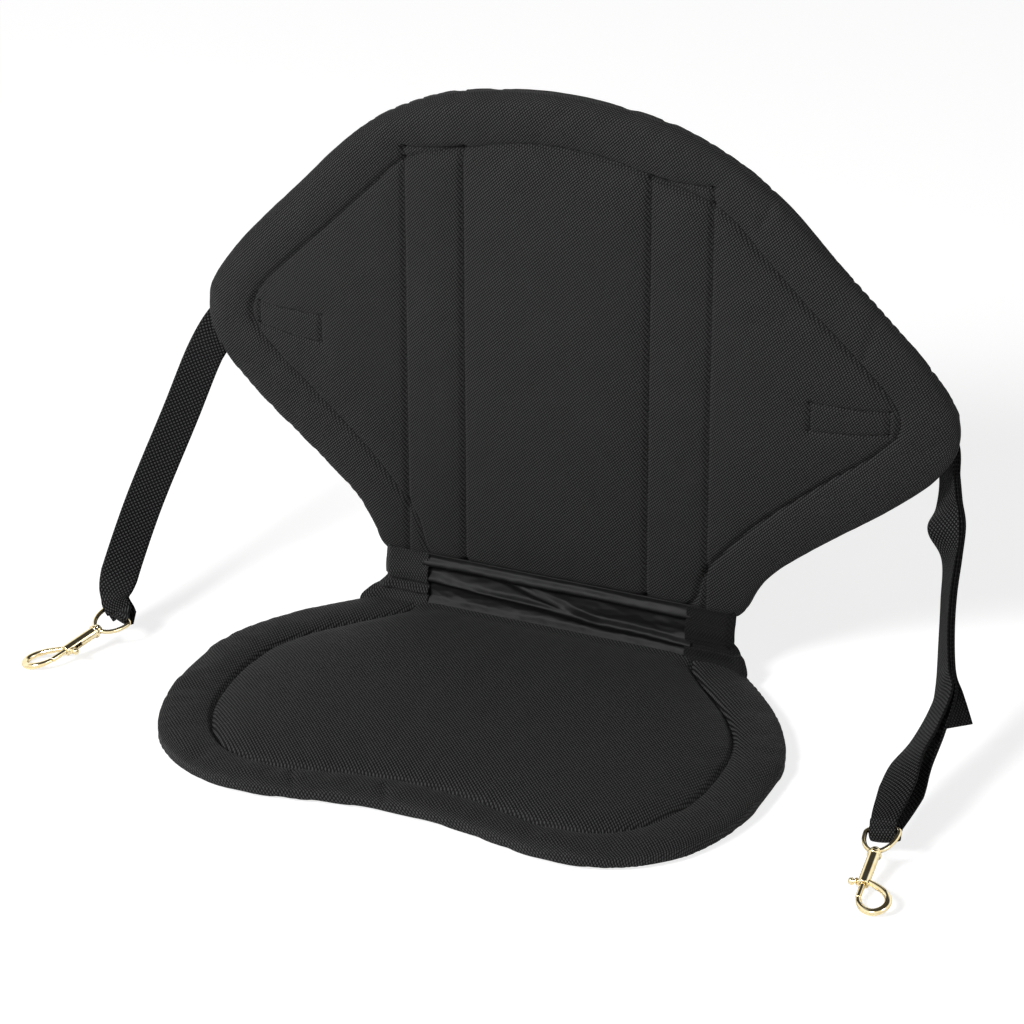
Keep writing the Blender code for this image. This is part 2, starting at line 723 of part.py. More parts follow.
def tape(keys, wide):
    """A webbing tape along a smooth curve through the keys, as wide as given at each."""
    points = np.array([p for p, _ in keys])
    widths = np.array([w for _, w in keys])
    spans = np.linalg.norm(np.diff(points, axis=0), axis=1)
    curve = spline(np.hstack([points, widths]), TAPE_SAMPLES)
    picked = []
    for i, span in enumerate(spans):
        pieces = max(1, round(span / STRAP_STEP))
        picked += [i * TAPE_SAMPLES + round(k * TAPE_SAMPLES / pieces) for k in range(pieces)]
    picked.append(len(curve) - 1)
    curve = curve[picked]
    wide = np.interp(np.array(picked) / TAPE_SAMPLES, range(len(wide)), wide)
    _, widths, faces = frames_along(curve[:, :3], curve[:, 3:])
    builder = bmesh.new()
    rows = []
    for p, w, f, size in zip(curve[:, :3], widths, faces, wide):
        across, through = w * size / 2, f * STRAP_THICKNESS / 2
        corners = (p - across - through, p + across - through, p + across + through, p - across + through)
        rows.append([builder.verts.new(c) for c in corners])
    for low, high in zip(rows, rows[1:]):
        for i in range(4):
            j = (i + 1) % 4
            builder.faces.new((low[i], low[j], high[j], high[i]))
    builder.faces.new(rows[0][::-1])
    builder.faces.new(rows[-1])
    return builder


def make_adjuster(side):
    """The tab sewn behind the wing, and the ladder lock that it holds."""
    run = Run(side)
    lock_out = FIXED_BEHIND + LAYER + LOCK_TURN
    inner = lock_out - LOCK_TURN
    outer = inner + LAYER
    bar_at = RUN_LOCK + LOCK_BAR / 2
    turn = half_turn(
        run.at(bar_at, lock_out), -run.out * LOCK_TURN, run.along * LOCK_TURN, run.width, 7
    )
    keys = [(run.at(d, inner), run.width) for d in (0, 10 * mm, bar_at - 3 * mm)]
    keys += turn
    keys += [(run.at(bar_at - 4 * mm, outer + 3.4 * mm), run.width)]
    keys += [(run.at(d, outer), run.width) for d in (12 * mm, 5 * mm)]
    add_object(f"{side}_strap_tab", tape(keys, [STRAP_WIDTH] * len(keys)), "webbing")

    lock = bmesh.new()
    half = STRAP_WIDTH / 2 + LOCK_RIM + CLEARANCE
    box(lock, (0, -half, -LOCK_THICKNESS / 2), (LOCK_LENGTH, half, LOCK_THICKNESS / 2))
    edges = [e for e in lock.edges if abs(e.verts[0].co.z - e.verts[1].co.z) > 0.5 * mm]
    round_off(lock, edges, 2.5 * mm, 3)
    lock = add_object(f"{side}_ladder_lock", lock, "plastic")
    slot = STRAP_WIDTH / 2 + CLEARANCE + 0.4 * mm
    for start, end in (
        (LOCK_BAR, LOCK_MIDDLE - LOCK_BAR / 2),
        (LOCK_MIDDLE + LOCK_BAR / 2, LOCK_LENGTH - LOCK_BAR),
    ):
        window = bmesh.new()
        box(window, (start, -slot, -LOCK_THICKNESS), (end, slot, LOCK_THICKNESS))
        boolean(lock, helper(window), "DIFFERENCE")
    lock.matrix_world = basis_matrix(run.at(RUN_LOCK, lock_out), run.along, run.width)


def basis_matrix(origin, x_axis, y_axis):
    z_axis = np.cross(x_axis, y_axis)
    columns = np.stack([x_axis, y_axis, z_axis, origin], 1)
    return Matrix([list(row) for row in columns] + [[0, 0, 0, 1]])


def turned(builder, profile, sides, along="x", centre=0.0):
    """A solid turned round the hook's axis, or round a line square to it for the knob."""
    rings = []
    for place, radius in profile:
        ring = []
        for k in range(sides):
            a = 2 * math.pi * k / sides
            y, z = radius * math.cos(a), radius * math.sin(a)
            ring.append((place, y, z) if along == "x" else (centre + y, place, z))
        rings.append(ring)
    rows = add_rings(builder, rings)
    builder.faces.new(rows[0][::-1])
    builder.faces.new(rows[-1])


def tube(builder, centres, radii, sides, closed=False):
    """A round wire along a curve that lies flat in the hook's own plane."""
    centres = np.array(centres)
    radii = np.broadcast_to(radii, len(centres))
    if closed:
        tangents = np.roll(centres, -1, axis=0) - np.roll(centres, 1, axis=0)
    else:
        tangents = np.gradient(centres, axis=0)
    tangents /= np.linalg.norm(tangents, axis=1)[:, None]
    flat = np.stack([-tangents[:, 1], tangents[:, 0]], 1)
    rings = []
    for (x, y), (nx, ny), r in zip(centres, flat, radii):
        ring = []
        for k in range(sides):
            a = 2 * math.pi * (k + 0.5) / sides
            ring.append((x + nx * r * math.cos(a), y + ny * r * math.cos(a), r * math.sin(a)))
        rings.append(ring)
    rows = add_rings(builder, rings)
    if closed:
        for k in range(sides):
            j = (k + 1) % sides
            builder.faces.new((rows[-1][k], rows[-1][j], rows[0][j], rows[0][k]))
    else:
        builder.faces.new(rows[0][::-1])
        builder.faces.new(rows[-1])


def make_eye(side, place):
    """The swivel eye: a ring with a straight bar, its boss, and the headed stem that turns in the barrel."""
    flat = EYE_HALF_WIDTH - EYE_CORNER
    ring = [(0, y) for y in np.linspace(-flat, flat, 5)]
    for a in np.linspace(157.5, 112.5, 3):
        a = math.radians(a)
        ring.append((EYE_CORNER * (1 + math.cos(a)), flat + EYE_CORNER * math.sin(a)))
    for a in np.linspace(90, -90, 19):
        a = math.radians(a)
        ring.append((EYE_CORNER + (EYE_LENGTH - EYE_CORNER) * math.cos(a), EYE_HALF_WIDTH * math.sin(a)))
    for a in np.linspace(-112.5, -157.5, 3):
        a = math.radians(a)
        ring.append((EYE_CORNER * (1 + math.cos(a)), -flat + EYE_CORNER * math.sin(a)))
    builder = bmesh.new()
    tube(builder, ring, EYE_WIRE, 8, closed=True)
    eye = add_object(f"{side}_swivel_eye", builder, "brass")
    boss_end = BARREL_START - CLEARANCE
    head_start = BARREL_START + END_WALL + CLEARANCE
    profile = [
        (EYE_LENGTH - 2.6 * mm, 1.2 * mm),
        (EYE_LENGTH - 2.0 * mm, 2.6 * mm),
        (EYE_LENGTH - 0.2 * mm, BOSS_RADIUS),
        (boss_end - 0.8 * mm, BOSS_RADIUS),
        (boss_end, BOSS_RADIUS - 0.7 * mm),
        (boss_end, STEM_RADIUS),
        (head_start, STEM_RADIUS),
        (head_start, HEAD_RADIUS),
        (head_start + HEAD_LENGTH, HEAD_RADIUS - 0.2 * mm),
    ]
    stem = bmesh.new()
    turned(stem, profile, 12)
    boolean(eye, helper(stem), "UNION")
    eye.matrix_world = place


def make_hook_body(side, place):
    """The barrel with its collar, slot and bore, and the hook that springs from its mouth."""
    collar_end = BARREL_START + COLLAR_LENGTH
    barrel = bmesh.new()
    profile = [
        (BARREL_START, COLLAR_RADIUS - 0.7 * mm),
        (BARREL_START + 0.6 * mm, COLLAR_RADIUS),
        (collar_end - 0.5 * mm, COLLAR_RADIUS),
        (collar_end, BARREL_RADIUS),
        (BARREL_END - 0.6 * mm, BARREL_RADIUS),
        (BARREL_END, BARREL_RADIUS - 0.5 * mm),
    ]
    turned(barrel, profile, 16)
    body = add_object(f"{side}_hook_body", barrel, "brass")
    (cx, cy), (rx, ry) = LOOP_CENTRE, LOOP_RADII
    arm = [(BARREL_END - 5 * mm, 1.6 * mm), (BARREL_END - 1.5 * mm, 2.6 * mm)]
    radii = [1.5 * mm, 1.9 * mm]
    for a in np.linspace(192, -93, 22):
        a = math.radians(a)
        arm.append((cx + rx * math.cos(a), cy + ry * math.sin(a)))
        radii.append(LOOP_WIRE - 0.35 * mm * max(0, -math.sin(a)))
    wire = bmesh.new()
    tube(wire, arm, radii, 10)
    boolean(body, helper(wire), "UNION")
    bore = bmesh.new()
    bore_start = BARREL_START + END_WALL
    turned(bore, [(bore_start, BORE_RADIUS), (BOLT_TIP, BORE_RADIUS)], 14)
    boolean(body, helper(bore), "DIFFERENCE")
    hole = bmesh.new()
    around = STEM_RADIUS + CLEARANCE
    turned(hole, [(BARREL_START - mm, around), (bore_start + mm, around)], 12)
    boolean(body, helper(hole), "DIFFERENCE")
    slot = bmesh.new()
    half = KNOB_NECK + CLEARANCE
    box(slot, (KNOB_AT - BOLT_TRAVEL - half, -2 * BARREL_RADIUS, -half), (KNOB_AT + half, 0, half))
    boolean(body, helper(slot), "DIFFERENCE")
    body.matrix_world = place


def make_bolt(side, place):
    """The sliding bolt that closes the hook, with the knob that a thumb pulls."""
    rod = bmesh.new()
    profile = [
        (BOLT_REAR, BOLT_RADIUS - 0.3 * mm),
        (BOLT_REAR + 0.4 * mm, BOLT_RADIUS),
        (BOLT_TIP - CLEARANCE - 0.6 * mm, BOLT_RADIUS),
        (BOLT_TIP - CLEARANCE, BOLT_RADIUS - 0.5 * mm),
    ]
    turned(rod, profile, 12)
    bolt = add_object(f"{side}_hook_bolt", rod, "brass")
    shoulder = BARREL_RADIUS + CLEARANCE
    knob = bmesh.new()
    profile = [
        (-0.5 * mm, KNOB_NECK),
        (-shoulder, KNOB_NECK),
        (-shoulder - 0.3 * mm, KNOB_RADIUS - 0.2 * mm),
        (-shoulder - 1.2 * mm, KNOB_RADIUS),
        (-shoulder - 1.7 * mm, KNOB_NECK + 0.4 * mm),
        (-shoulder - 2.5 * mm, KNOB_NECK + 0.4 * mm),
        (-shoulder - 3.4 * mm, KNOB_RADIUS),
        (-KNOB_REACH + 1.3 * mm, KNOB_RADIUS),
        (-KNOB_REACH, KNOB_RADIUS - 1.0 * mm),
    ]
    turned(knob, profile, 10, along="y", centre=KNOB_AT)
    boolean(bolt, helper(knob), "UNION")
    bolt.matrix_world = place


def make_spring(side, place):
    """The coil spring that pushes the bolt shut."""
    start = BARREL_START + END_WALL + HEAD_LENGTH + 2 * CLEARANCE + SPRING_WIRE
    end = BOLT_REAR - CLEARANCE - SPRING_WIRE
    steps = 9 * SPRING_TURNS
    rings = []
    for k in range(steps + 1):
        turn = 2 * math.pi * k / 9
        out = np.array([0, math.cos(turn), math.sin(turn)])
        centre = out * SPRING_RADIUS + [start + (end - start) * k / steps, 0, 0]
        corners = [(1, 0), (0, 1), (-1, 0), (0, -1)]
        rings.append([centre + SPRING_WIRE * (out * u + np.array([v, 0, 0])) for u, v in corners])
    builder = bmesh.new()
    rows = add_rings(builder, rings)
    builder.faces.new(rows[0][::-1])
    builder.faces.new(rows[-1])
    add_object(f"{side}_bolt_spring", builder, "steel").matrix_world = place


def main():
    clear_scene()
    make_seat()
    make_backrest()
    make_hinge()
    for side in ("left", "right"):
        make_adjuster(side)
        make_strap(side)
        pivot, axis, bulge, bar = hook_basis(side)
        make_eye(side, basis_matrix(pivot, axis, bar))
        place = basis_matrix(pivot, axis, bulge)
        for make_piece in (make_hook_body, make_bolt, make_spring):
            make_piece(side, place)


main()
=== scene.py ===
# %% [markdown]
# A padded kayak seat. The real thing is two foam pads in black twill, joined at the back edge of
# the seat by a loose cloth hinge, with a webbing strap on each wing that ends in a brass snap hook.
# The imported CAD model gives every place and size. This lesson makes the visible pieces over it:
# pads by cloth simulation, straps as bent grids, and metal by spinning and sweeping.
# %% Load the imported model
import math

import bmesh
import bpy
import numpy as np
from mathutils import Matrix, Vector, bvhtree, kdtree, noise


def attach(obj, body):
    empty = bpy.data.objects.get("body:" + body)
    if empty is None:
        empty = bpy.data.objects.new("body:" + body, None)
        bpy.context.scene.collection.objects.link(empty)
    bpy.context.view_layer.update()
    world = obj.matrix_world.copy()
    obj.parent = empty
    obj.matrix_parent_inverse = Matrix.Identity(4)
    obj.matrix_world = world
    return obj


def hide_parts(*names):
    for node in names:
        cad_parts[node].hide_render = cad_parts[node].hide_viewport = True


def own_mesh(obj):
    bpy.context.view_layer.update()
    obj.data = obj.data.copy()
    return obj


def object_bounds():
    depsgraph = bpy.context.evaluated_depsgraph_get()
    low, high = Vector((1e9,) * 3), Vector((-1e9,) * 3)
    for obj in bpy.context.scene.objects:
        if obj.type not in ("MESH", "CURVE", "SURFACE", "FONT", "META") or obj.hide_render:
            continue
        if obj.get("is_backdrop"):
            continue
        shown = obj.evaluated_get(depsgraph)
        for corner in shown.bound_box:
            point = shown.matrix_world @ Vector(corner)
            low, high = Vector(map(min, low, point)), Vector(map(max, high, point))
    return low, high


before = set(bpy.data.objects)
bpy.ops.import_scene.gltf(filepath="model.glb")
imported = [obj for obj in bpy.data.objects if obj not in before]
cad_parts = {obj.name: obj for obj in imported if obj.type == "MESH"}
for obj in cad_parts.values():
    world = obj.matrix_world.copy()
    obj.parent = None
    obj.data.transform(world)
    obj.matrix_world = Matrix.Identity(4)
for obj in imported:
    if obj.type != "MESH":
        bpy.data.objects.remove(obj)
CAD_BOX = [list(corner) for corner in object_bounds()]
mm = 0.001
print("nodes in the frame:", len(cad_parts))

# %% [markdown]
# The camera comes first, because everything after it is judged through it. It stands in front of
# the seat, a little to its right, and looks down by about 27 degrees. A long lens keeps the
# upright edges nearly parallel, as they are in the product picture.
# %% Camera
CAMERA_PLACE = (0.95035, -2.10200, 1.32072)
CAMERA_RIGHT = (0.916, 0.400, -0.002)
CAMERA_BACK = (0.359, -0.818, 0.449)
CAMERA_LENS = 145.28


def square_axes(right, back):
    """The right, up and back axes, made exactly square to each other, with the last one kept."""
    back = Vector(back).normalized()
    right = (Vector(right) - back * Vector(right).dot(back)).normalized()
    return right, back.cross(right), back


camera = bpy.data.objects.new("camera", bpy.data.cameras.new("camera"))
bpy.context.scene.collection.objects.link(camera)
camera.data.lens = CAMERA_LENS
camera.data.clip_start = 0.1
columns = Matrix([list(axis) for axis in square_axes(CAMERA_RIGHT, CAMERA_BACK)]).transposed()
camera.matrix_world = Matrix.Translation(CAMERA_PLACE) @ columns.to_4x4()
bpy.context.scene.camera = camera

# %% [markdown]
# Shader sums read best as plain Python. A Wire holds one output of a node, and adding or
# multiplying Wires adds the Math nodes for it. Every other node comes from Finish.node, which
# takes the kind of node, its settings and the values or Wires of its sockets.
# %% Shader helper


class Wire:
    """One output of a shader node, which can be used in sums."""

    def __init__(self, finish, socket):
        self.finish = finish
        self.socket = socket

    def sum(self, operation, *values):
        return self.finish.node("ShaderNodeMath", {"operation": operation}, dict(enumerate(values)))

    def __add__(self, other):
        return self.sum("ADD", self, other)

    __radd__ = __add__

    def __mul__(self, other):
        return self.sum("MULTIPLY", self, other)

    __rmul__ = __mul__

    def __sub__(self, other):
        return self.sum("SUBTRACT", self, other)

    def __rsub__(self, other):
        return self.sum("SUBTRACT", other, self)

    def sine(self):
        return self.sum("SINE", self)

    def size(self):
        return self.sum("ABSOLUTE", self)

    def most(self, other):
        return self.sum("MAXIMUM", self, other)

    def least(self, other):
        return self.sum("MINIMUM", self, other)

    def step(self, low, high):
        """0 below low, 1 above high, and smooth between them."""
        settings = {"interpolation_type": "SMOOTHSTEP"}
        return self.finish.node("ShaderNodeMapRange", settings, {"Value": self, 1: low, 2: high})


class Finish:
    """One material, made node by node."""

    def __init__(self, name):
        self.material = bpy.data.materials.new(name)
        self.material.use_nodes = True
        self.tree = self.material.node_tree
        self.shader = self.tree.nodes["Principled BSDF"]

    def node(self, kind, settings=None, sockets=None, out=0):
        node = self.tree.nodes.new(kind)
        for key, value in (settings or {}).items():
            setattr(node, key, value)
        for key, value in (sockets or {}).items():
            self.feed(node.inputs[key], value)
        return Wire(self, node.outputs[out])

    def feed(self, socket, value):
        if isinstance(value, Wire):
            self.tree.links.new(value.socket, socket)
        elif isinstance(value, tuple) and len(value) == 3 and socket.type == "RGBA":
            socket.default_value = (*value, 1)
        else:
            socket.default_value = value

    def split(self, vector):
        parts = self.tree.nodes.new("ShaderNodeSeparateXYZ")
        self.tree.links.new(vector.socket, parts.inputs[0])
        return [Wire(self, output) for output in parts.outputs]

    def mix(self, factor, first, second):
        settings = {"data_type": "RGBA"}
        return self.node("ShaderNodeMix", settings, {0: factor, 6: first, 7: second}, out=2)

    def noise(self, vector, scale, detail=2.0, roughness=0.5):
        sockets = {"Vector": vector, "Scale": scale, "Detail": detail, "Roughness": roughness}
        return self.node("ShaderNodeTexNoise", None, sockets)

    def bump(self, height, distance, strength=1.0):
        sockets = {"Height": height, "Distance": distance, "Strength": strength}
        return self.node("ShaderNodeBump", None, sockets)

    def surface(self, **sockets):
        for key, value in sockets.items():
            self.feed(self.shader.inputs[key.replace("_", " ")], value)
        return self.material


# %% [markdown]
# The pads are covered in polyester twill: thick yarns that step sideways row by row, which gives
# the fine diagonal lines of the picture. The pattern follows the cloth, so it reads an attribute
# that each pad carries, its place on the flat cloth in metres. Two crossed sets of yarns are drawn
# with sines, and each yarn varies a little in tone so that the black isn't flat.
# %% Twill


def twill(name, tone, lean, pitch):
    """Black diagonal twill. pitch is the distance between its lines, lean is 1 or -1 for their slope."""
    finish = Finish(name)
    cloth = finish.node("ShaderNodeAttribute", {"attribute_name": "cloth"}, out=1)
    u, v, _ = finish.split(cloth)
    bend = finish.noise(cloth, 60.0, 2.0, 0.5) * (0.5 * mm)
    turn = 2 * math.pi
    diagonal = (u + v * lean + bend) * (turn / (pitch * math.sqrt(2)))
    across = (u - v * lean) * (turn / (pitch * math.sqrt(2)))
    ridge = diagonal.sine().step(-0.8, 0.7)
    knots = (across * 0.85 + diagonal * 0.3).sine().step(-0.8, 0.6)
    height = ridge * (knots * 0.75 + 0.25)
    fibres = finish.noise(cloth, 850.0, 2.0, 0.6)
    patches = finish.noise(cloth, 16.0, 4.0, 0.6)
    shade = height * 2.4 + fibres * 1.0 + patches * 0.3 - 0.98
    dark, light = (tuple(c * k for c in tone) for k in (0.0, 3.9))
    colour = finish.mix(shade.least(1.0).most(0.0), dark, light)
    relief = finish.bump(height + fibres * 0.5, 0.4 * mm, 1.0)
    rough = finish.noise(cloth, 45.0, 2.0, 0.5) * 0.14 + 0.72
    finish.surface(Sheen_Weight=0.03, Sheen_Roughness=0.45, Specular_IOR_Level=0.16)
    return finish.surface(Base_Color=colour, Roughness=rough, Normal=relief)


CLOTH_BLACK = (0.0108, 0.0108, 0.0110)
SEAT_TWILL = twill("seat_twill", CLOTH_BLACK, 1, 1.85 * mm)
BACK_TWILL = twill("back_twill", CLOTH_BLACK, -1, 1.55 * mm)

# %% [markdown]
# A pad is drawn flat first: across, along, and its height above its flat side. The outlines below
# are the same as in the CAD, so the finished pad fills the same space. A Line measures how far a
# point is from a seam, on which side, and how far along it.
# %% Outlines and seams

PAD_THICKNESS = 15 * mm
EDGE_SEAM = 6 * mm
BACK_FRONT = 135 * mm
BACK_REAR = BACK_FRONT + PAD_THICKNESS
RIB_SHIFT = -3 * mm
RIB_INNER = 65 * mm
RIB_OUTER = 107 * mm

SEAT_OUTLINE = [
    (0, -112), (40, -115), (75, -122), (103, -126), (134, -122), (162, -108), (184, -84),
    (199, -44), (203, 2), (199, 40), (184, 74), (160, 106), (141, 126), (133, 133.5),
    (126, 136.8), (118, 138), (80, 138), (0, 138),
]
SEAT_SEAM = [
    (0, -84), (34, -86), (64, -93), (90, -98), (118, -96), (138, -86), (154, -66), (165, -36),
    (168, 4), (163, 40), (145, 73), (120, 101), (104, 120), (94, 133), (50, 134.5), (0, 134.5),
]
BACK_OUTLINE = [
    (0, 43), (80, 43), (118, 43), (130, 47), (140, 66), (154, 83), (185, 108), (224, 136),
    (250, 158), (263, 178), (266, 196), (260, 215), (240, 243), (212, 274), (184, 303),
    (152, 336), (122, 359), (84, 377), (42, 386), (0, 389),
]
BACK_SEAM = [
    (0, 47), (60, 47), (93, 48), (103, 72), (117, 91), (140, 116), (178, 148), (213, 175),
    (228, 193), (223, 214), (196, 244), (166, 273), (137, 303), (108, 330), (64, 344),
    (32, 352), (0, 354.5),
]


def smooth_curve(points, step, closed=False):
    """A Catmull-Rom curve through the points, with points that are step apart."""
    points = np.array(points, float)
    if closed:
        ring = np.vstack([points[-1], points, points[:2]])
    else:
        ring = np.vstack([2 * points[0] - points[1], points, 2 * points[-1] - points[-2]])
    t = np.linspace(0, 1, 48, endpoint=False)[:, None]
    fine = []
    for a, b, c, d in zip(ring, ring[1:], ring[2:], ring[3:]):
        bend = (2 * a - 5 * b + 4 * c - d) * t**2 + (3 * b - a - 3 * c + d) * t**3
        fine.append(0.5 * (2 * b + (c - a) * t + bend))
    fine.append(points[:1] if closed else points[-1:])
    fine = np.vstack(fine)
    run = np.concatenate([[0], np.cumsum(np.linalg.norm(np.diff(fine, axis=0), axis=1))])
    count = max(2, round(run[-1] / step))
    at = np.linspace(0, run[-1], count, endpoint=False) if closed else np.linspace(0, run[-1], count + 1)
    return np.stack([np.interp(at, run, fine[:, k]) for k in range(fine.shape[1])], 1)


def both_sides(right_half):
    """A right-hand half in millimetres and its mirror image, as one ring in metres."""
    ring = list(right_half) + [(-x, y) for x, y in reversed(right_half[1:-1])]
    return np.array(ring) * mm


class Line:
    """A seam or an edge on the flat pad."""

    def __init__(self, points, closed=False, straight=False):
        step = 0.5 * mm
        if straight:
            points = np.array(points, float)
            count = max(2, round(float(np.linalg.norm(points[1] - points[0])) / step))
            self.points = points[0] + (points[1] - points[0]) * np.linspace(0, 1, count)[:, None]
        else:
            self.points = smooth_curve(points, step, closed)
        ahead = np.roll(self.points, -1, axis=0) - np.roll(self.points, 1, axis=0)
        if not closed:
            ahead[0] = self.points[1] - self.points[0]
            ahead[-1] = self.points[-1] - self.points[-2]
        self.ahead = ahead / np.linalg.norm(ahead, axis=1)[:, None]
        self.step = step
        self.closed = closed
        self.tree = kdtree.KDTree(len(self.points))
        for i, point in enumerate(self.points):
            self.tree.insert((*point, 0), i)
        self.tree.balance()

    def measure(self, flat):
        """For each point: signed distance from the line, run along it, and the way square to it."""
        index = np.array([self.tree.find((x, y, 0))[1] for x, y in flat])
        arm = flat - self.points[index]
        ahead = self.ahead[index]
        side = arm[:, 0] * ahead[:, 1] - arm[:, 1] * ahead[:, 0]
        distance = np.hypot(arm[:, 0], arm[:, 1]) * np.where(side < 0, -1, 1)
        square = np.stack([ahead[:, 1], -ahead[:, 0]], 1)
        return distance, index * self.step, square


def straight(x0, z0, x1, z1):
    return Line([(x0, z0), (x1, z1)], straight=True)


def smooth_step(x, low, high):
    t = np.clip((x - low) / (high - low), 0, 1)
    return t * t * (3 - 2 * t)


EDGES = {
    "seat": Line(both_sides(SEAT_OUTLINE), closed=True),
    "back": Line(both_sides(BACK_OUTLINE), closed=True),
}
SEAT_LOOP = Line(both_sides(SEAT_SEAM), closed=True)
BACK_LOOP = Line(both_sides(BACK_SEAM), closed=True)
for name, edge in EDGES.items():
    print(f"{name} outline: {len(edge.points) * edge.step:.3f} m round")

# %% [markdown]
# Each pad starts as a flat plate: one face from the outline, extruded to its thickness, then
# remeshed into even squares. Cloth simulation blows it up from inside while the sewn lines are
# held down, so the foam swells between the seams by itself. The move is capped, one subdivision
# smooths it, and the faces near a seam are divided again to carry its groove.
# %% Plate, simulation and refinement


def mesh_object(name, builder):
    """Puts a finished bmesh into a new object at the origin."""
    mesh = bpy.data.meshes.new(name)
    builder.to_mesh(mesh)
    builder.free()
    obj = bpy.data.objects.new(name, mesh)
    bpy.context.scene.collection.objects.link(obj)
    return obj


def apply_modifiers(obj):
    """Swaps the object's mesh for what its modifiers make of it."""
    graph = bpy.context.evaluated_depsgraph_get()
    made = bpy.data.meshes.new_from_object(obj.evaluated_get(graph))
    obj.modifiers.clear()
    obj.data = made


def places(mesh):
    flat = np.empty(len(mesh.vertices) * 3, np.float32)
    mesh.vertices.foreach_get("co", flat)
    return flat.reshape(-1, 3).astype(float)


def set_places(mesh, points):
    mesh.vertices.foreach_set("co", points.astype(np.float32).ravel())
    mesh.update()


def plate(name, edge, inset, low, high, voxel):
    """A flat plate with the pad's outline, as even squares."""
    ring = edge.points[::4]
    square = np.stack([edge.ahead[::4, 1], -edge.ahead[::4, 0]], 1)
    builder = bmesh.new()
    corners = [builder.verts.new((*p, low)) for p in ring - square * inset]
    face = builder.faces.new(corners)
    lifted = bmesh.ops.extrude_face_region(builder, geom=[face])["geom"]
    top = [v for v in lifted if isinstance(v, bmesh.types.BMVert)]
    bmesh.ops.translate(builder, verts=top, vec=(0, 0, high - low))
    bmesh.ops.recalc_face_normals(builder, faces=builder.faces)
    obj = mesh_object(name, builder)
    remesh = obj.modifiers.new("squares", "REMESH")
    remesh.mode = "VOXEL"
    remesh.voxel_size = voxel
    apply_modifiers(obj)
    builder = bmesh.new()
    builder.from_mesh(obj.data)
    for _ in range(4):
        bmesh.ops.smooth_vert(builder, verts=builder.verts, factor=0.5, use_axis_x=True, use_axis_y=True)
        distance, _, square = edge.measure(np.array([v.co[:2] for v in builder.verts]))
        for vert, past, way in zip(builder.verts, distance + inset, square):
            if past > -0.4 * voxel:
                vert.co.xy -= Vector(way) * past
    builder.to_mesh(obj.data)
    builder.free()
    return obj


def inflate(obj, held, cap, pressure=4.0, growth=0.03):
    """Swells the plate like a filled cushion, with the held vertices pinned."""
    group = obj.vertex_groups.new(name="sewn")
    for index, weight in enumerate(held):
        if weight > 0:
            group.add([index], float(weight), "REPLACE")
    before = places(obj.data)
    cloth = obj.modifiers.new("swell", "CLOTH")
    settings = cloth.settings
    settings.quality = 4
    settings.mass = 0.3
    settings.tension_stiffness = settings.compression_stiffness = 12
    settings.bending_stiffness = 0.6
    settings.use_pressure = True
    settings.uniform_pressure_force = pressure
    settings.shrink_min = -growth
    settings.effector_weights.gravity = 0
    settings.vertex_group_mass = group.name
    cloth.point_cache.frame_start = 1
    cloth.point_cache.frame_end = 20
    for number in range(1, 21):
        bpy.context.scene.frame_set(number)
    apply_modifiers(obj)
    bpy.context.scene.frame_set(1)
    after = places(obj.data)
    move = after - before
    length = np.linalg.norm(move, axis=1)[:, None]
    soft = cap * np.tanh(length / cap)
    set_places(obj.data, before + move * soft / np.maximum(length, 1e-9))
    print(f"{obj.name}: swelled by {1000 * float(soft.max()):.1f} mm at most")


def refine(obj, near):
    """One smooth subdivision, then another for the faces where near(points) is true."""
    smooth = obj.modifiers.new("smooth", "SUBSURF")
    smooth.levels = smooth.render_levels = 1
    apply_modifiers(obj)
    builder = bmesh.new()
    builder.from_mesh(obj.data)
    chosen = near(places(obj.data))
    faces = [f for f in builder.faces if any(chosen[v.index] for v in f.verts)]
    edges = {e for f in faces for e in f.edges}
    bmesh.ops.subdivide_edges(builder, edges=list(edges), cuts=1, use_grid_fill=True)
    builder.to_mesh(obj.data)
    builder.free()


# %% [markdown]
# After the simulation the seams are pressed in. A seam is a narrow groove where the thread pulls
# the cloth down, with small puckers beside it where the cloth is gathered. A wider, softer dip
# lies round it. All of it is worked out from the distance to the seam, so that it stays crisp.
# %% Press seams into a pad


def flutter(run, pace, *seed):
    """Smooth noise along a run."""
    return np.array([noise.noise((r * pace, *seed)) for r in run])


def cloth_noise(across, up, per_across, per_up, seed):
    """Smooth noise over a cloth."""
    pairs = zip(across * per_across, up * per_up)
    return np.array([noise.noise((a, b, seed)) for a, b in pairs])


def press(points, measured, weight, depth, groove, dip, pucker):
    """Pushes the surface in along a seam. weight is 1 on the top, -1 on the flat side, 0 between."""
    distance, run, _ = measured
    reach = np.abs(distance)
    valley = dip * np.exp(-((reach / (7 * mm)) ** 2))
    cut = depth * np.exp(-((reach / groove) ** 2))
    waves = flutter(run, 110, 0.3, 0.7) + 0.7 * flutter(run, 380, 4.3, 0.7)
    beside = np.exp(-reach / (6 * mm)) * (1 - np.exp(-((reach / groove) ** 2)))
    folds = pucker * waves * beside
    points[:, 2] -= np.clip(weight, 0, 1) * (valley + cut - folds) + np.clip(weight, -1, 0) * 0.45 * cut


def ripples(points, size, height, seed):
    """Soft unevenness of cloth over foam."""
    x, y = points[:, 0], points[:, 1]
    broad = cloth_noise(x, y, 1 / size, 1 / size, seed)
    fine = cloth_noise(x, y, 2.3 / size, 2.3 / size, seed + 5)
    return (broad + 0.5 * fine) * height


def keep_cloth(obj, cloth):
    """Keeps each point's place on the flat cloth as an attribute."""
    attribute = obj.data.attributes.new("cloth", "FLOAT_VECTOR", "POINT")
    attribute.data.foreach_set("vector", cloth.astype(np.float32).ravel())


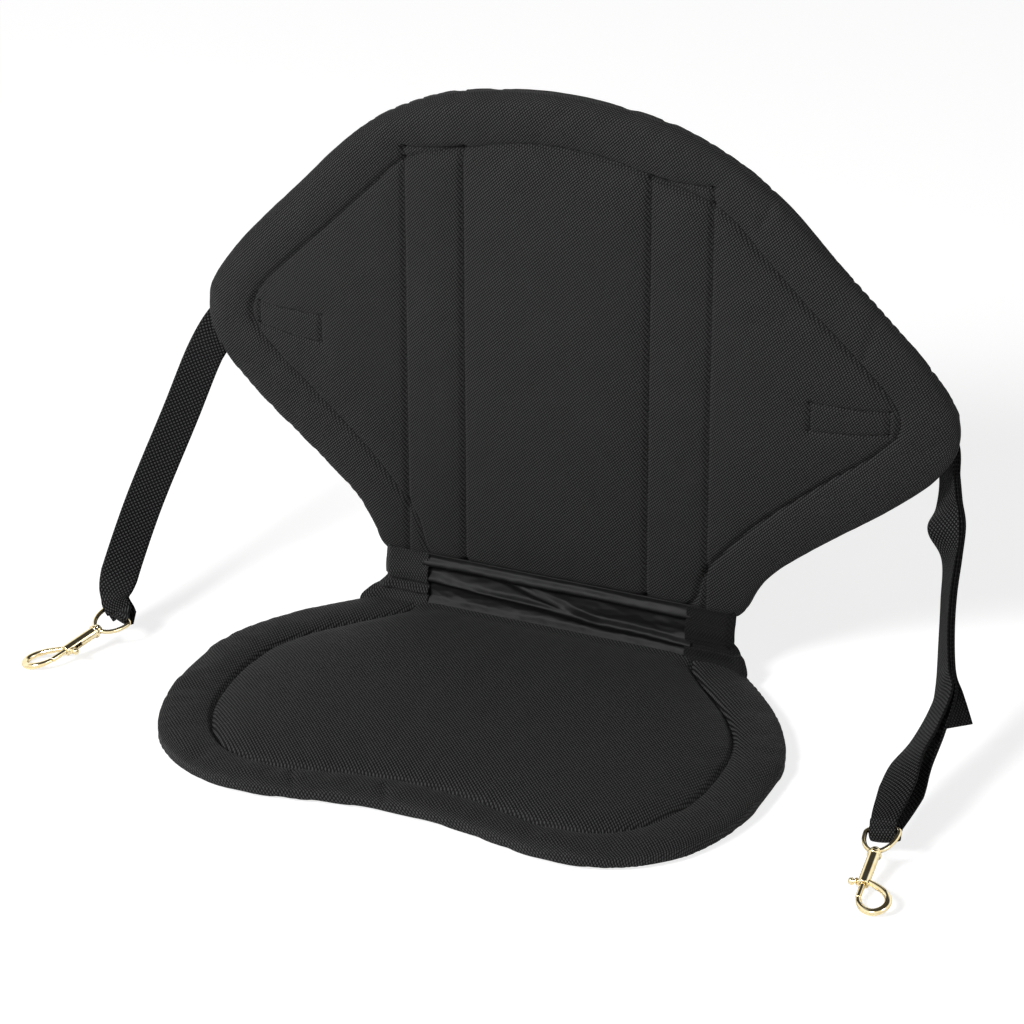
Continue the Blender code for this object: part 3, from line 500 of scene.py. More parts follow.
def unroll(obj, points, edge):
    """Keeps a pad's places on the flat cloth, which goes on past the rim."""
    distance, _, square = edge.measure(points[:, :2])
    below = np.clip(PAD_THICKNESS - points[:, 2], 0, PAD_THICKNESS)
    past = below * np.clip(1 + distance / (6 * mm), 0, 1)
    flat = points[:, :2] + square * past[:, None]
    keep_cloth(obj, np.column_stack([flat, np.zeros(len(flat))]))


def finish_piece(obj, material, body, *replaced, slot=None):
    """Gives a piece its material and its place in the frame."""
    obj.data.materials.clear()
    obj.data.materials.append(material)
    obj.data.shade_smooth()
    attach(obj, body)
    if replaced:
        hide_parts(*replaced)
    count = sum(len(p.vertices) - 2 for p in obj.data.polygons)
    print(f"{obj.name}: {count} triangles")


# %% [markdown]
# Thread shows as a row of short stitches in the bottom of each groove. Every stitch is a small
# rounded bar with twenty faces, laid on the cloth where a ray from above meets it.
# %% Stitches

STITCH_LENGTH = 2.7 * mm
STITCH_PITCH = 3.5 * mm


def surface_at(obj, from_above=True):
    """A function that gives the height of one side of the pad at a place."""
    mesh = obj.data
    mesh.calc_loop_triangles()
    corners = [v.co.copy() for v in mesh.vertices]
    tree = bvhtree.BVHTree.FromPolygons(corners, [tuple(t.vertices) for t in mesh.loop_triangles])

    def height(x, y):
        start, down = (0.06, -1) if from_above else (-0.06, 1)
        hit = tree.ray_cast(Vector((x, y, start)), Vector((0, 0, down)))[0]
        return hit.z - down * 0.12 * mm if hit else None

    return height


def sew(builder, line, height, thread=0.33 * mm):
    """Lays stitches along a line on the surface."""
    gap = round(STITCH_PITCH / line.step)
    half = round(STITCH_LENGTH / 2 / line.step)
    for middle in range(gap, len(line.points) - gap, gap):
        ends = [line.points[middle - half], line.points[middle + half]]
        heights = [height(*p) for p in ends]
        if None in heights:
            continue
        a, b = (Vector((*p, h)) for p, h in zip(ends, heights))
        along = b - a
        size = Matrix.Diagonal((thread, thread, along.length / 2, 1))
        turn = along.to_track_quat("Z", "Y").to_matrix().to_4x4()
        place = Matrix.Translation((a + b) / 2) @ turn @ size
        bmesh.ops.create_icosphere(builder, subdivisions=1, radius=1, matrix=place)


# %% [markdown]
# Thread and webbing are both polyester, and the webbing is darker than the twill. The thread is black, and
# its colour is made darker still than the twill as painted shade, for the shade in the grooves where it
# lies. The webbing is woven from thick yarns that show as rows of small blocks, with a plain edge on each
# side.
# %% Thread and webbing


def thread_finish():
    finish = Finish("thread")
    place = finish.node("ShaderNodeTexCoord", None, None, out=3)
    fibre = finish.noise(place, 2500.0, 2.0, 0.6)
    # Painted shade: the thread is kept darker than the twill so that the stitches read as the shade in the
    # bottom of the groove.
    colour = finish.mix(fibre, (0.001, 0.001, 0.001), (0.008, 0.008, 0.008))
    relief = finish.bump(fibre, 0.1 * mm, 0.5)
    return finish.surface(Base_Color=colour, Roughness=0.6, Normal=relief, Specular_IOR_Level=0.15)


def webbing_finish(pitch=3.0 * mm):
    """Woven webbing: u runs along it and v across."""
    finish = Finish("webbing")
    cloth = finish.node("ShaderNodeAttribute", {"attribute_name": "cloth"}, out=1)
    u, v, _ = finish.split(cloth)
    turn = 2 * math.pi
    column = v * (turn / (pitch * 2.0))
    row = u * (turn / (pitch * 2.0))
    blocks = (row + column).sine() * (row - column).sine()
    yarn = blocks.size().step(0.30, 0.80)
    fibres = finish.noise(cloth, 1800.0, 2.0, 0.6)
    edge = (v.size() - 11.6 * mm).step(0.0, 0.7 * mm)
    shade = yarn * 1.1 + fibres * 0.4 - 0.22 - edge * 0.3
    colour = finish.mix(shade.least(1.0).most(0.0), (0.0003, 0.0003, 0.0003), (0.042, 0.042, 0.043))
    relief = finish.bump(yarn + fibres * 0.3, 0.5 * mm, 0.9)
    finish.surface(Sheen_Weight=0.0, Specular_IOR_Level=0.08)
    rough = finish.noise(cloth, 60.0) * 0.15 + 0.55
    return finish.surface(Base_Color=colour, Roughness=rough, Normal=relief)


THREAD = thread_finish()
WEBBING = webbing_finish()

# %% [markdown]
# The seat pad lies flat. Its border is a firm roll, sewn down along one line that follows the
# outline, and the middle panel is a broad flat cushion. The rim stays where the cut foam puts it,
# so it is pinned in the simulation and then set out to the pad's full size.
# %% Seat pad


def faces_up(points):
    """1 on the padded side, -1 on the flat side, and smooth between them on the wall."""
    height = points[:, 2]
    padded = np.clip((height - 8 * mm) / (2 * mm) + 0.5, 0, 1)
    flat = np.clip((3 * mm - height) / mm, 0, 1)
    return padded - flat


def set_rim(obj, points, edge):
    """Puts the wall of the pad on its outline: upright, rounded at the top, tucked in below."""
    distance, run, square = edge.measure(points[:, :2])
    normals = np.empty(len(points) * 3, np.float32)
    obj.data.vertices.foreach_get("normal", normals)
    normals = normals.reshape(-1, 3)
    upright = np.clip(np.hypot(normals[:, 0], normals[:, 1]) * 1.7 - 0.35, 0, 1)
    rim = np.clip(1 + (distance + 3 * mm) / (5 * mm), 0, 1)
    height = points[:, 2]
    target = -0.2 * mm - 2.4 * mm * np.clip((height - 8 * mm) / (6 * mm), 0, 1) ** 2
    target -= 2.2 * mm * np.clip((3.2 * mm - height) / (3.2 * mm), 0, 1) ** 2
    target -= 0.45 * mm * np.exp(-(((height - EDGE_SEAM) / (1.3 * mm)) ** 2))
    waves = flutter(run, 30, 9.1, 0.2) + 0.5 * flutter(run, 110, 2.1, 0.2)
    target -= 0.3 * mm * (waves + 0.6)
    move = rim * upright * (target - distance)
    fill = (1 - upright) * 1.0 * mm * np.clip((distance + 16 * mm) / (12 * mm), 0, 1)
    points[:, :2] += square * (move + fill)[:, None]


def pinned(points, edge, seams):
    """1 where the pad can't swell: at its seams, its rim and its flat side."""
    rim = edge.measure(points[:, :2])[0] > -4.5 * mm
    near = np.min([np.abs(line.measure(points[:, :2])[0]) for line in seams], axis=0) < 3.0 * mm
    top = points[:, 2] > 7 * mm
    return ((near & top) | (points[:, 2] < 3 * mm) | (rim & (points[:, 2] < 9.5 * mm))).astype(float)


def near_seams(seams, reach):
    return lambda points: (
        np.min([np.abs(line.measure(points[:, :2])[0]) for line in seams], axis=0) < reach
    ) & (np.abs(points[:, 2] - 5 * mm) > 2 * mm)


SEAT_SEAMS = [SEAT_LOOP]
SEAT_DENTS = [
    straight(-17.7 * mm, -97 * mm, -7.7 * mm, -114 * mm),
    straight(-78.6 * mm, -104 * mm, -69.2 * mm, -119 * mm),
]
RIM_INSET = 1.2 * mm
seat = plate("seat_pad", EDGES["seat"], RIM_INSET, 0.6 * mm, 12.3 * mm, 4.5 * mm)
inflate(seat, pinned(places(seat.data), EDGES["seat"], SEAT_SEAMS), 6 * mm, growth=0.004)
refine(seat, near_seams(SEAT_SEAMS, 7 * mm))
points = places(seat.data)
print("seat pad before pressing:", points.min(0).round(4), points.max(0).round(4))
weight = faces_up(points)
points[:, 2] += np.clip(weight, 0, 1) * ripples(points, 70 * mm, 0.35 * mm, 2.0)
press(points, SEAT_LOOP.measure(points[:, :2]), weight, 3.0 * mm, 1.6 * mm, 1.5 * mm, 0.35 * mm)
for dent in SEAT_DENTS:
    press(points, dent.measure(points[:, :2]), weight, 1.6 * mm, 2.2 * mm, 0.0, 0.0)
set_rim(seat, points, EDGES["seat"])
rear = smooth_step(points[:, 1], 122 * mm, 133 * mm)
rear *= smooth_step(-np.abs(points[:, 0]), -112 * mm, -96 * mm)
points[:, 2] += rear * np.clip(weight, 0, 1) * np.clip(13.6 * mm - points[:, 2], 0, 4 * mm)
set_places(seat.data, points)
unroll(seat, points, EDGES["seat"])
threads = bmesh.new()
for from_above in (True, False):
    sew(threads, SEAT_LOOP, surface_at(seat, from_above))
seat_thread = mesh_object("seat_thread", threads)
finish_piece(seat, SEAT_TWILL, "seat", "seat_top_cover", "seat_foam", "seat_bottom_cover", slot="twill")
finish_piece(seat_thread, THREAD, "seat")

# %% [markdown]
# The backrest is made flat in the same way and then stood up. Four upright seams make two narrow
# channels for the battens, between three broad cushions. The wings sweep back a little, as they do
# when the straps pull on them. A box of stitches on each wing holds the strap behind it.
# %% Backrest pad

SWEEP_SQUARE = 0.0267
SWEEP_FOURTH = 0.172
CHANNEL_TOP = 343 * mm
PATCH = (172 * mm, 222 * mm, 188 * mm, 208 * mm)


def sweep(across):
    u = np.abs(across) / (390 * mm)
    return 390 * mm * (SWEEP_SQUARE * u**2 + SWEEP_FOURTH * u**4)


def stand_up(points):
    """From the flat pad's own coordinates to the upright backrest."""
    across, along, height = points.T
    return np.column_stack([across, BACK_REAR - height + sweep(across), along])


RIBS = []
PATCHES = []
left, right, low, high = PATCH
for side in (-1, 1):
    inner, outer = RIB_SHIFT + side * RIB_INNER, RIB_SHIFT + side * RIB_OUTER
    outer_top = CHANNEL_TOP + min(side, 0) * 6 * mm
    RIBS.append(straight(inner, 46 * mm, inner, CHANNEL_TOP))
    RIBS.append(straight(outer, 46 * mm, outer, outer_top))
    RIBS.append(straight(inner, CHANNEL_TOP, outer, outer_top))
    PATCHES.append(straight(side * left, low, side * left, high))
    PATCHES.append(straight(side * right, low + 2 * mm, side * right, high - 2 * mm))
    PATCHES.append(straight(side * left, low, side * right, low + 2 * mm))
    PATCHES.append(straight(side * left, high, side * right, high - 2 * mm))
BACK_SEAMS = [BACK_LOOP, *RIBS]
BACK_DENTS = [
    straight(143.6 * mm, 341 * mm, 136.2 * mm, 323 * mm),
    straight(212.3 * mm, 274 * mm, 205.6 * mm, 243 * mm),
]

back = plate("backrest_pad", EDGES["back"], RIM_INSET, 0.6 * mm, 12.3 * mm, 5 * mm)
inflate(back, pinned(places(back.data), EDGES["back"], BACK_SEAMS), 6 * mm, growth=0.004)
refine(back, near_seams([*BACK_SEAMS, *PATCHES], 5.5 * mm))
points = places(back.data)
print("backrest pad before pressing:", points.min(0).round(4), points.max(0).round(4))
weight = faces_up(points)
points[:, 2] += np.clip(weight, 0, 1) * ripples(points, 80 * mm, 0.4 * mm, 7.0)
for line in BACK_SEAMS:
    press(points, line.measure(points[:, :2]), weight, 2.8 * mm, 1.7 * mm, 0.7 * mm, 0.35 * mm)
for line in PATCHES:
    press(points, line.measure(points[:, :2]), weight, 2.2 * mm, 1.3 * mm, 0.7 * mm, 0.3 * mm)
for dent in BACK_DENTS:
    press(points, dent.measure(points[:, :2]), weight, 1.6 * mm, 2.6 * mm, 0.0, 0.0)
set_rim(back, points, EDGES["back"])
set_places(back.data, points)
unroll(back, points, EDGES["back"])
threads = bmesh.new()
for from_above in (True, False):
    height = surface_at(back, from_above)
    for line in [*BACK_SEAMS, *PATCHES]:
        sew(threads, line, height)
back_thread = mesh_object("backrest_thread", threads)
for piece in (back, back_thread):
    set_places(piece.data, stand_up(places(piece.data)))
BACK_NODES = ["backrest_front_cover", "backrest_foam", "backrest_rear_cover"]
finish_piece(back, BACK_TWILL, "seat", *BACK_NODES, slot="twill")
finish_piece(back_thread, THREAD, "seat")

# %% [markdown]
# The hinge is loose lining cloth between the two pads. It hangs in soft folds that run from side
# to side, with a twill flap over each end. A grid is bent into place, its folds are raised where
# the picture shows the light on them, and a Solidify modifier gives it the thickness of cloth.
# %% Cloth hinge


def ridge(x, centre, width):
    """A rounded fold with a steeper lower side."""
    t = (x - centre) / width
    return np.exp(-np.abs(t) ** np.where(t < 0, 1.6, 2.2))


def bent_grid(name, columns, rows, place, thickness):
    """A grid of columns by rows, moved by place(u, v) with u and v from 0 to 1, made thick."""
    builder = bmesh.new()
    bmesh.ops.create_grid(builder, x_segments=columns, y_segments=rows, size=0.5)
    flat = np.array([v.co[:2] for v in builder.verts]) + 0.5
    moved, cloth = place(flat[:, 0], flat[:, 1])
    for vert, point in zip(builder.verts, moved):
        vert.co = point
    obj = mesh_object(name, builder)
    keep_cloth(obj, cloth)
    wall = obj.modifiers.new("cloth", "SOLIDIFY")
    wall.thickness = thickness
    wall.offset = 0
    apply_modifiers(obj)
    return obj


LINING_SECTION = [
    (130.6, 8.6), (132.0, 11.4), (134.4, 14.4), (137.0, 17.4), (138.0, 22.0), (138.8, 27.0),
    (138.4, 32.0), (139.0, 38.0), (138.0, 43.0), (137.6, 48.5),
]
SECTION_LENGTH = 42 * mm
LINING_END = 97 * mm
FLAP_END = 126 * mm
FLAP_FLARE = 14 * mm


def on_section(v):
    """Places on the hinge's cross-section, and the way square to it, towards the front."""
    curve = smooth_curve(LINING_SECTION, 0.2) * mm
    run = np.linspace(0, 1, len(curve))
    ahead = np.gradient(curve, axis=0)
    ahead /= np.linalg.norm(ahead, axis=1)[:, None]
    y, z, along_y, along_z = (np.interp(v, run, column) for column in (*curve.T, *ahead.T))
    return y, z, -along_z, along_y


def held(v):
    """1 along the middle of the hinge, and 0 at the seams above and below."""
    return smooth_step(v, 0.10, 0.30) * smooth_step(-v, -0.98, -0.88)


def hinge_place(u, v):
    x = (u - 0.5) * 2 * LINING_END
    y, z, out_y, out_z = on_section(v)
    lean = x / LINING_END
    wander = cloth_noise(x, z, 16, 0, 3.3)
    upper = 41.5 * mm - 0.5 * mm * lean + 1.5 * mm * wander
    lower = 24.0 * mm - 5.5 * mm * lean - 2.0 * mm * wander
    lift = 3.2 * mm * ridge(z, upper, 2.8 * mm) + 3.6 * mm * ridge(z, lower, 2.6 * mm)
    across = ridge(z + 0.26 * (x + 14 * mm), 32 * mm, 2.0 * mm) * np.exp(-(((x + 8 * mm) / (34 * mm)) ** 2))
    second = ridge(z + 0.30 * (x - 2 * mm), 30 * mm, 1.8 * mm) * np.exp(-(((x - 4 * mm) / (26 * mm)) ** 2))
    lift += 2.4 * mm * across + 1.8 * mm * second + 0.9 * mm * cloth_noise(x, z, 40, 170, 8.3)
    lift += 0.4 * mm * cloth_noise(x, z, 150, 320, 5.1)
    lift *= held(v)
    moved = np.column_stack([x, y + out_y * lift, z + out_z * lift])
    return moved, np.column_stack([x, v * SECTION_LENGTH, 0 * x])


def flap_place(side):
    """The twill flap over one end of the hinge: flat above, with pinched folds at its foot."""
    first = LINING_END - 4 * mm

    def place(u, v):
        foot_end = FLAP_END + FLAP_FLARE * (1 - smooth_step(v, 0.05, 0.45))
        x = first + u * (foot_end - first)
        y, z, out_y, out_z = on_section(v)
        fold = 20.5 * mm if side > 0 else 23.5 * mm
        bulge = smooth_step(z, fold, fold + 5 * mm) * smooth_step(-z, -47 * mm, -36 * mm)
        foot = ridge(z, fold - 4.0 * mm, 2.4 * mm) * (1 + 0.5 * cloth_noise(x, z, 110, 0, 6.0 + side))
        lift = 3.4 * mm * bulge + 3.8 * mm * foot + 0.7 * mm * cloth_noise(x, z, 60, 120, 3.3 + side)
        lift = lift * smooth_step(v, 0.05, 0.22) * smooth_step(-v, -1.0, -0.9) + 1.2 * mm
        past = 5.0 * mm * smooth_step(u, 0.8, 1.0) ** 2
        past -= 20.0 * np.clip(x - 118 * mm, 0, None) ** 2 * (1 - smooth_step(v, 0.1, 0.5))
        moved = np.column_stack([side * x, y + out_y * lift + past, z + out_z * lift])
        return moved, np.column_stack([x, v * SECTION_LENGTH, 0 * x])

    return place


hinge = bent_grid("hinge_lining", 240, 72, hinge_place, 0.9 * mm)


def lining_finish():
    """Thin coated lining with a soft shine."""
    finish = Finish("lining")
    cloth = finish.node("ShaderNodeAttribute", {"attribute_name": "cloth"}, out=1)
    u, v, _ = finish.split(cloth)
    turn = 2 * math.pi / (1.1 * mm)
    weave = ((u - v) * turn * 0.7).sine() * 0.5 + 0.5
    fibres = finish.noise(cloth, 1200.0, 2.0, 0.6)
    crumple = finish.noise(cloth, 90.0, 3.0, 0.55)
    shade = weave * 0.5 + fibres * 0.4 + crumple * 0.3 - 0.1
    colour = finish.mix(shade, (0.0006, 0.0006, 0.0006), (0.0105, 0.0105, 0.0108))
    relief = finish.bump(weave * 0.3 + fibres * 0.3 + crumple * 3.0, 0.4 * mm, 0.6)
    finish.surface(Sheen_Weight=0.0, Specular_IOR_Level=0.15)
    return finish.surface(Base_Color=colour, Roughness=crumple * 0.15 + 0.44, Normal=relief)


finish_piece(hinge, lining_finish(), "seat", "hinge_band", slot="lining")
# The right flap's twill is five times darker than the left's. This is painted shade, for the shade the
# right flap lies in: both flaps are the same twill.
for side, sign, tone in (("left", -1, 1.0), ("right", 1, 0.2)):
    flap = bent_grid(f"{side}_hinge_flap", 44, 72, flap_place(sign), 0.9 * mm)
    flap_twill = twill(f"{side}_flap_twill", tuple(c * tone for c in CLOTH_BLACK), -1, 1.55 * mm)
    finish_piece(flap, flap_twill, "seat", "hinge_band", slot="twill")

# %% [markdown]
# Each strap is one length of flat webbing. It is sewn behind the wing, runs out past its edge and
# down to the hook, goes through the hook's eye and comes back up beside itself to the adjuster.
# The route is given by a few keys. Each has a place, the direction of the webbing's width, the gap
# in millimetres to the layer that comes back, and how far the front layer swings out, in degrees.
# A spline through the keys places a grid, row by row. HOOKS says where each hook sits: its pivot,
# the way it points, the way it bulges and the way of the bar that the webbing goes round.
# %% Routes of the straps

STRAP_WIDTH = 25.4 * mm
STRAP_THICKNESS = 1.4 * mm
CLEARANCE = 0.3 * mm
LAYER = STRAP_THICKNESS + CLEARANCE
FIXED_BEHIND = 0.5 * mm + STRAP_THICKNESS / 2
STRAP_SQUEEZED = 17.4 * mm
EYE_WIRE = 1.5 * mm
LOCK_THICKNESS = 3 * mm
LOCK_TURN = LOCK_THICKNESS / 2 + CLEARANCE + STRAP_THICKNESS / 2 + 0.7 * mm
LOCK_LENGTH = 26 * mm
LOCK_MIDDLE = 13 * mm
RUN_START = (178 * mm, 200 * mm)
RUN_END = (234 * mm, 198 * mm)
RUN_LOCK = 24 * mm
SWEEP_AT = [0, 106 * mm, 150 * mm, 190 * mm, 230 * mm, 272 * mm]
SWEEP = [0, 1.1 * mm, 3.0 * mm, 6.2 * mm, 11.8 * mm, 20.6 * mm]
HOOKS = {
    "left": ((-270.1, 25.4, 18.9), (-0.36, -0.91, -0.195), (-0.90, 0.40, -0.19), (-0.93, 0.32, 0.20)),
    "right": ((289, -33.6, 18.4), (0.07, -0.96, -0.245), (0.98, 0.02, 0.22), (-0.98, -0.02, -0.22)),
}
STRAP_ROUTES = {
    "left": [
        ((-276.7, 30.4, 28), (-0.92, -0.10, 0.22), 8.8, 0), ((-277, 40, 41), (-0.90, -0.30, 0.28), 4.5, 0),
        ((-279, 82, 76), (-0.89, -0.30, 0.35), 2.4, 0), ((-275, 130, 121), (-0.89, -0.29, 0.36), 1.9, 0),
        ((-270, 162, 157), (-0.88, -0.24, 0.38), 1.9, 0), ((-256, 170, 182), (-0.80, 0.00, 0.60), 1.9, 0),
    ],
    "right": [
        ((288, -29.6, 25), (-0.98, -0.02, -0.22), 11.5, 0), ((286, 0, 31), (-0.93, 0.10, -0.36), 12, 0),
        ((283.5, 24, 35), (-0.83, 0.12, -0.54), 10, 0), ((285.5, 52, 39), (-0.71, 0.17, -0.68), 6, 0),
        ((286, 82, 48), (-0.60, 0.20, -0.76), 3.2, 0), ((281.5, 98, 56), (-0.44, 0.43, -0.79), 2.2, 0),
        ((275, 117, 74), (-0.41, 0.61, -0.68), 1.9, 0), ((270, 134, 93), (-0.44, 0.67, -0.60), 1.9, 0),
        ((267.5, 149, 113), (-0.46, 0.68, -0.57), 1.9, 6), ((265, 160, 129), (-0.49, 0.66, -0.57), 1.9, 36),
        ((259, 168, 142), (-0.54, 0.66, -0.50), 1.9, 10), ((254, 175, 158), (-0.63, 0.73, -0.22), 1.9, 0),
        ((248, 176, 182), (-0.60, 0.55, -0.50), 1.9, 0),
    ],
}
LOOPS = {"left": (4.8 * mm, 30), "right": (6 * mm, 70)}
TAIL_KEYS = {"left": 2, "right": 8}
TAIL_ENDS = {
    "left": [],
    "right": [((289.5, 93, 45), (-0.60, 0.34, -0.72)), ((297, 87, 29), (-0.74, 0.33, -0.59))],
}


def unit(vector):
    vector = np.asarray(vector, float)
    return vector / np.linalg.norm(vector)


def square_frames(points, widths):
    """Along, across and face directions at each point of a route."""
    ahead = np.gradient(points, axis=0)
    ahead /= np.linalg.norm(ahead, axis=1)[:, None]
    widths = widths - ahead * (widths * ahead).sum(1)[:, None]
    widths /= np.linalg.norm(widths, axis=1)[:, None]
    return ahead, widths, np.cross(ahead, widths)


class Run:
    """The straight run of webbing behind one wing."""

    def __init__(self, side):
        self.sign = -1 if side == "left" else 1
        self.start, end = (self.behind_wing(*place) for place in (RUN_START, RUN_END))
        self.length = float(np.linalg.norm(end - self.start))
        self.along = unit(end - self.start)
        self.width = unit(np.cross(self.along, (0, -1, 0)))
        self.out = np.cross(self.along, self.width)

    def behind_wing(self, x, z):
        return np.array([self.sign * x, BACK_REAR + np.interp(x, SWEEP_AT, SWEEP), z])

    def at(self, distance, behind):
        return self.start + self.along * distance + self.out * behind


def half_turn(centre, start, towards, width, steps=7):
    angles = np.linspace(0, math.pi, steps)
    return [(centre + start * math.cos(a) + towards * math.sin(a), width) for a in angles]


def hook_directions(side):
    pivot, axis, *across = (np.array(v, float) for v in HOOKS[side])
    axis = unit(axis)
    bulge, bar = (unit(v - axis * np.dot(v, axis)) for v in across)
    return pivot * mm, axis, bulge, bar


def strap_keys(side):
    """Places, width directions and widths of one strap, from the wing to its loose end."""
    run = Run(side)
    pivot, _, _, bar = hook_directions(side)
    route = np.array([key[0] for key in STRAP_ROUTES[side]]) * mm
    gaps = np.array([key[2] for key in STRAP_ROUTES[side]])[:, None] * mm
    ends = np.vstack([pivot, route, run.at(run.length, FIXED_BEHIND)])
    widths = np.array([bar] + [key[1] for key in STRAP_ROUTES[side]] + [run.width], float)
    _, widths, faces = (v[1:-1] for v in square_frames(ends, widths))
    front = []
    for point, width, face, (_, _, _, swing) in zip(route, widths, faces, STRAP_ROUTES[side]):
        turned = width * math.cos(math.radians(swing)) + face * math.sin(math.radians(swing))
        front.append((point + (turned - width) * STRAP_WIDTH / 2, turned))
    rear = list(zip(route - faces * gaps, widths))
    loose = list(zip(route - faces * (gaps + LAYER), widths))
    rise = route[0] - faces[0] * gaps[0] / 2 - pivot
    up = unit(rise - bar * np.dot(rise, bar))
    face = np.cross(up, bar)
    radius, slack = LOOPS[side]
    pull = up * math.cos(math.radians(slack)) - face * math.sin(math.radians(slack))
    centre = pivot + pull * (radius - STRAP_THICKNESS / 2 - EYE_WIRE - 0.5 * mm)
    loop = half_turn(centre, face * radius, -up * radius, bar)
    middle = RUN_LOCK + LOCK_MIDDLE
    lock = FIXED_BEHIND + LAYER + LOCK_TURN
    keys = [(run.at(d, FIXED_BEHIND), run.width) for d in (0, run.length / 2, run.length - 8 * mm)]
    keys += [(run.at(run.length, FIXED_BEHIND + mm), run.width)]
    keys += front[::-1] + loop + rear + [(run.at(run.length, FIXED_BEHIND + LAYER + mm), run.width)]
    keys += [(run.at(middle + 5 * mm, lock - LOCK_TURN), run.width)]
    keys += half_turn(run.at(middle, lock), -run.out * LOCK_TURN, -run.along * LOCK_TURN, run.width)
    past = (middle + 7 * mm, RUN_LOCK + LOCK_LENGTH + 2 * mm)
    keys += [(run.at(d, lock + LOCK_TURN), run.width) for d in past] + loose[::-1][: TAIL_KEYS[side]]
    keys += [(np.array(place) * mm, np.array(width)) for place, width in TAIL_ENDS[side]]
    first = 4 + len(front)
    squeezed = range(first - 1, first + len(loop) + 1)
    wide = [STRAP_SQUEEZED if i in squeezed else STRAP_WIDTH for i in range(len(keys))]
    return keys, wide


def tab_keys(side):
    """The short tab that holds the adjuster."""
    run = Run(side)
    lock = FIXED_BEHIND + LAYER + LOCK_TURN
    inner = lock - LOCK_TURN
    outer = inner + LAYER
    bar_at = RUN_LOCK + 1.4 * mm
    keys = [(run.at(d, inner), run.width) for d in (0, 10 * mm, bar_at - 3 * mm)]
    keys += half_turn(run.at(bar_at, lock), -run.out * LOCK_TURN, run.along * LOCK_TURN, run.width)
    keys += [(run.at(bar_at - 4 * mm, outer + 3.4 * mm), run.width)]
    keys += [(run.at(d, outer), run.width) for d in (12 * mm, 5 * mm)]
    return keys, [STRAP_WIDTH] * len(keys)


def webbing(name, keys, wide, cells=14):
    """A flat tape of webbing through the keys."""
    table = np.array([[*p, *w] for p, w in keys])
    ring = np.vstack([2 * table[0] - table[1], table, 2 * table[-1] - table[-2]])
    fine, sizes = [], []
    t = np.linspace(0, 1, 24, endpoint=False)[:, None]
    for i, (a, b, c, d) in enumerate(zip(ring, ring[1:], ring[2:], ring[3:])):
        bend = (2 * a - 5 * b + 4 * c - d) * t**2 + (3 * b - a - 3 * c + d) * t**3
        fine.append(0.5 * (2 * b + (c - a) * t + bend))
        sizes.append(wide[i] + (wide[i + 1] - wide[i]) * t[:, 0])
    fine = np.vstack(fine + [table[-1:]])
    sizes = np.concatenate(sizes + [wide[-1:]])
    run = np.concatenate([[0], np.cumsum(np.linalg.norm(np.diff(fine[:, :3], axis=0), axis=1))])
    rows = round(run[-1] / (1.5 * mm))
    at = np.linspace(0, run[-1], rows + 1)
    route = np.stack([np.interp(at, run, fine[:, k]) for k in range(6)], 1)
    sizes = np.interp(at, run, sizes)
    _, across, faces = square_frames(route[:, :3], route[:, 3:])

    def place(u, v):
        row = np.rint(v * rows).astype(int)
        offset = (u - 0.5) * sizes[row]
        squeeze = 1 - sizes[row] / STRAP_WIDTH
        cup = squeeze * 3.0 * mm * ((2 * u - 1) ** 2)
        moved = route[row, :3] + across[row] * offset[:, None] + faces[row] * cup[:, None]
        return moved, np.column_stack([at[row], (u - 0.5) * STRAP_WIDTH, 0 * u])

    obj = bent_grid(name, cells, rows, place, STRAP_THICKNESS - 0.1 * mm)
    print(f"{name}: {run[-1]:.3f} m of webbing")
    return obj


for side in ("left", "right"):
    strap = webbing(f"{side}_webbing", *strap_keys(side))
    finish_piece(strap, WEBBING, "seat", f"{side}_strap", slot="webbing")
    tab = webbing(f"{side}_adjuster_tab", *tab_keys(side))
    finish_piece(tab, WEBBING, "seat", f"{side}_strap_tab", slot="webbing")

# %% [markdown]
# The hooks are cast brass, polished and bright plated. Each has a ring that takes the webbing, a
# barrel that turns on it, a curved hook, and a sprung bolt with a thumb knob. Round parts are
# spun from a profile, and wires are curves with a round bevel turned into meshes. The coil behind
# the bolt is drawn steel wire, and is taken over from the CAD model.
# %% Brass


def brass_finish():
    finish = Finish("brass")
    place = finish.node("ShaderNodeTexCoord", None, None, out=3)
    cloud = finish.noise(place, 220.0, 3.0, 0.5)
    fine = finish.noise(place, 1600.0, 2.0, 0.6)
    colour = finish.mix(cloud.step(0.35, 0.75), (0.90, 0.74, 0.42), (0.97, 0.86, 0.58))
    relief = finish.bump(cloud + fine * 0.15, 0.12 * mm, 0.35)
    return finish.surface(Base_Color=colour, Roughness=cloud * 0.1 + 0.07, Metallic=1.0, Normal=relief)


def steel_finish():
    finish = Finish("steel")
    place = finish.node("ShaderNodeTexCoord", None, None, out=3)
    drawn = finish.noise(place, 900.0, 2.0, 0.5)
    return finish.surface(Base_Color=(0.55, 0.55, 0.56), Roughness=drawn * 0.2 + 0.2, Metallic=1.0)


BRASS = brass_finish()
STEEL = steel_finish()

BARREL_START = 21.3 * mm
BARREL_END = 48.5 * mm
BARREL_RADIUS = 3.7 * mm
BORE_RADIUS = 2.2 * mm
BOLT_RADIUS = 1.85 * mm
BOLT_REAR = 40 * mm
BOLT_TIP = 60.4 * mm
BOLT_TRAVEL = 8 * mm
KNOB_AT = 45.5 * mm


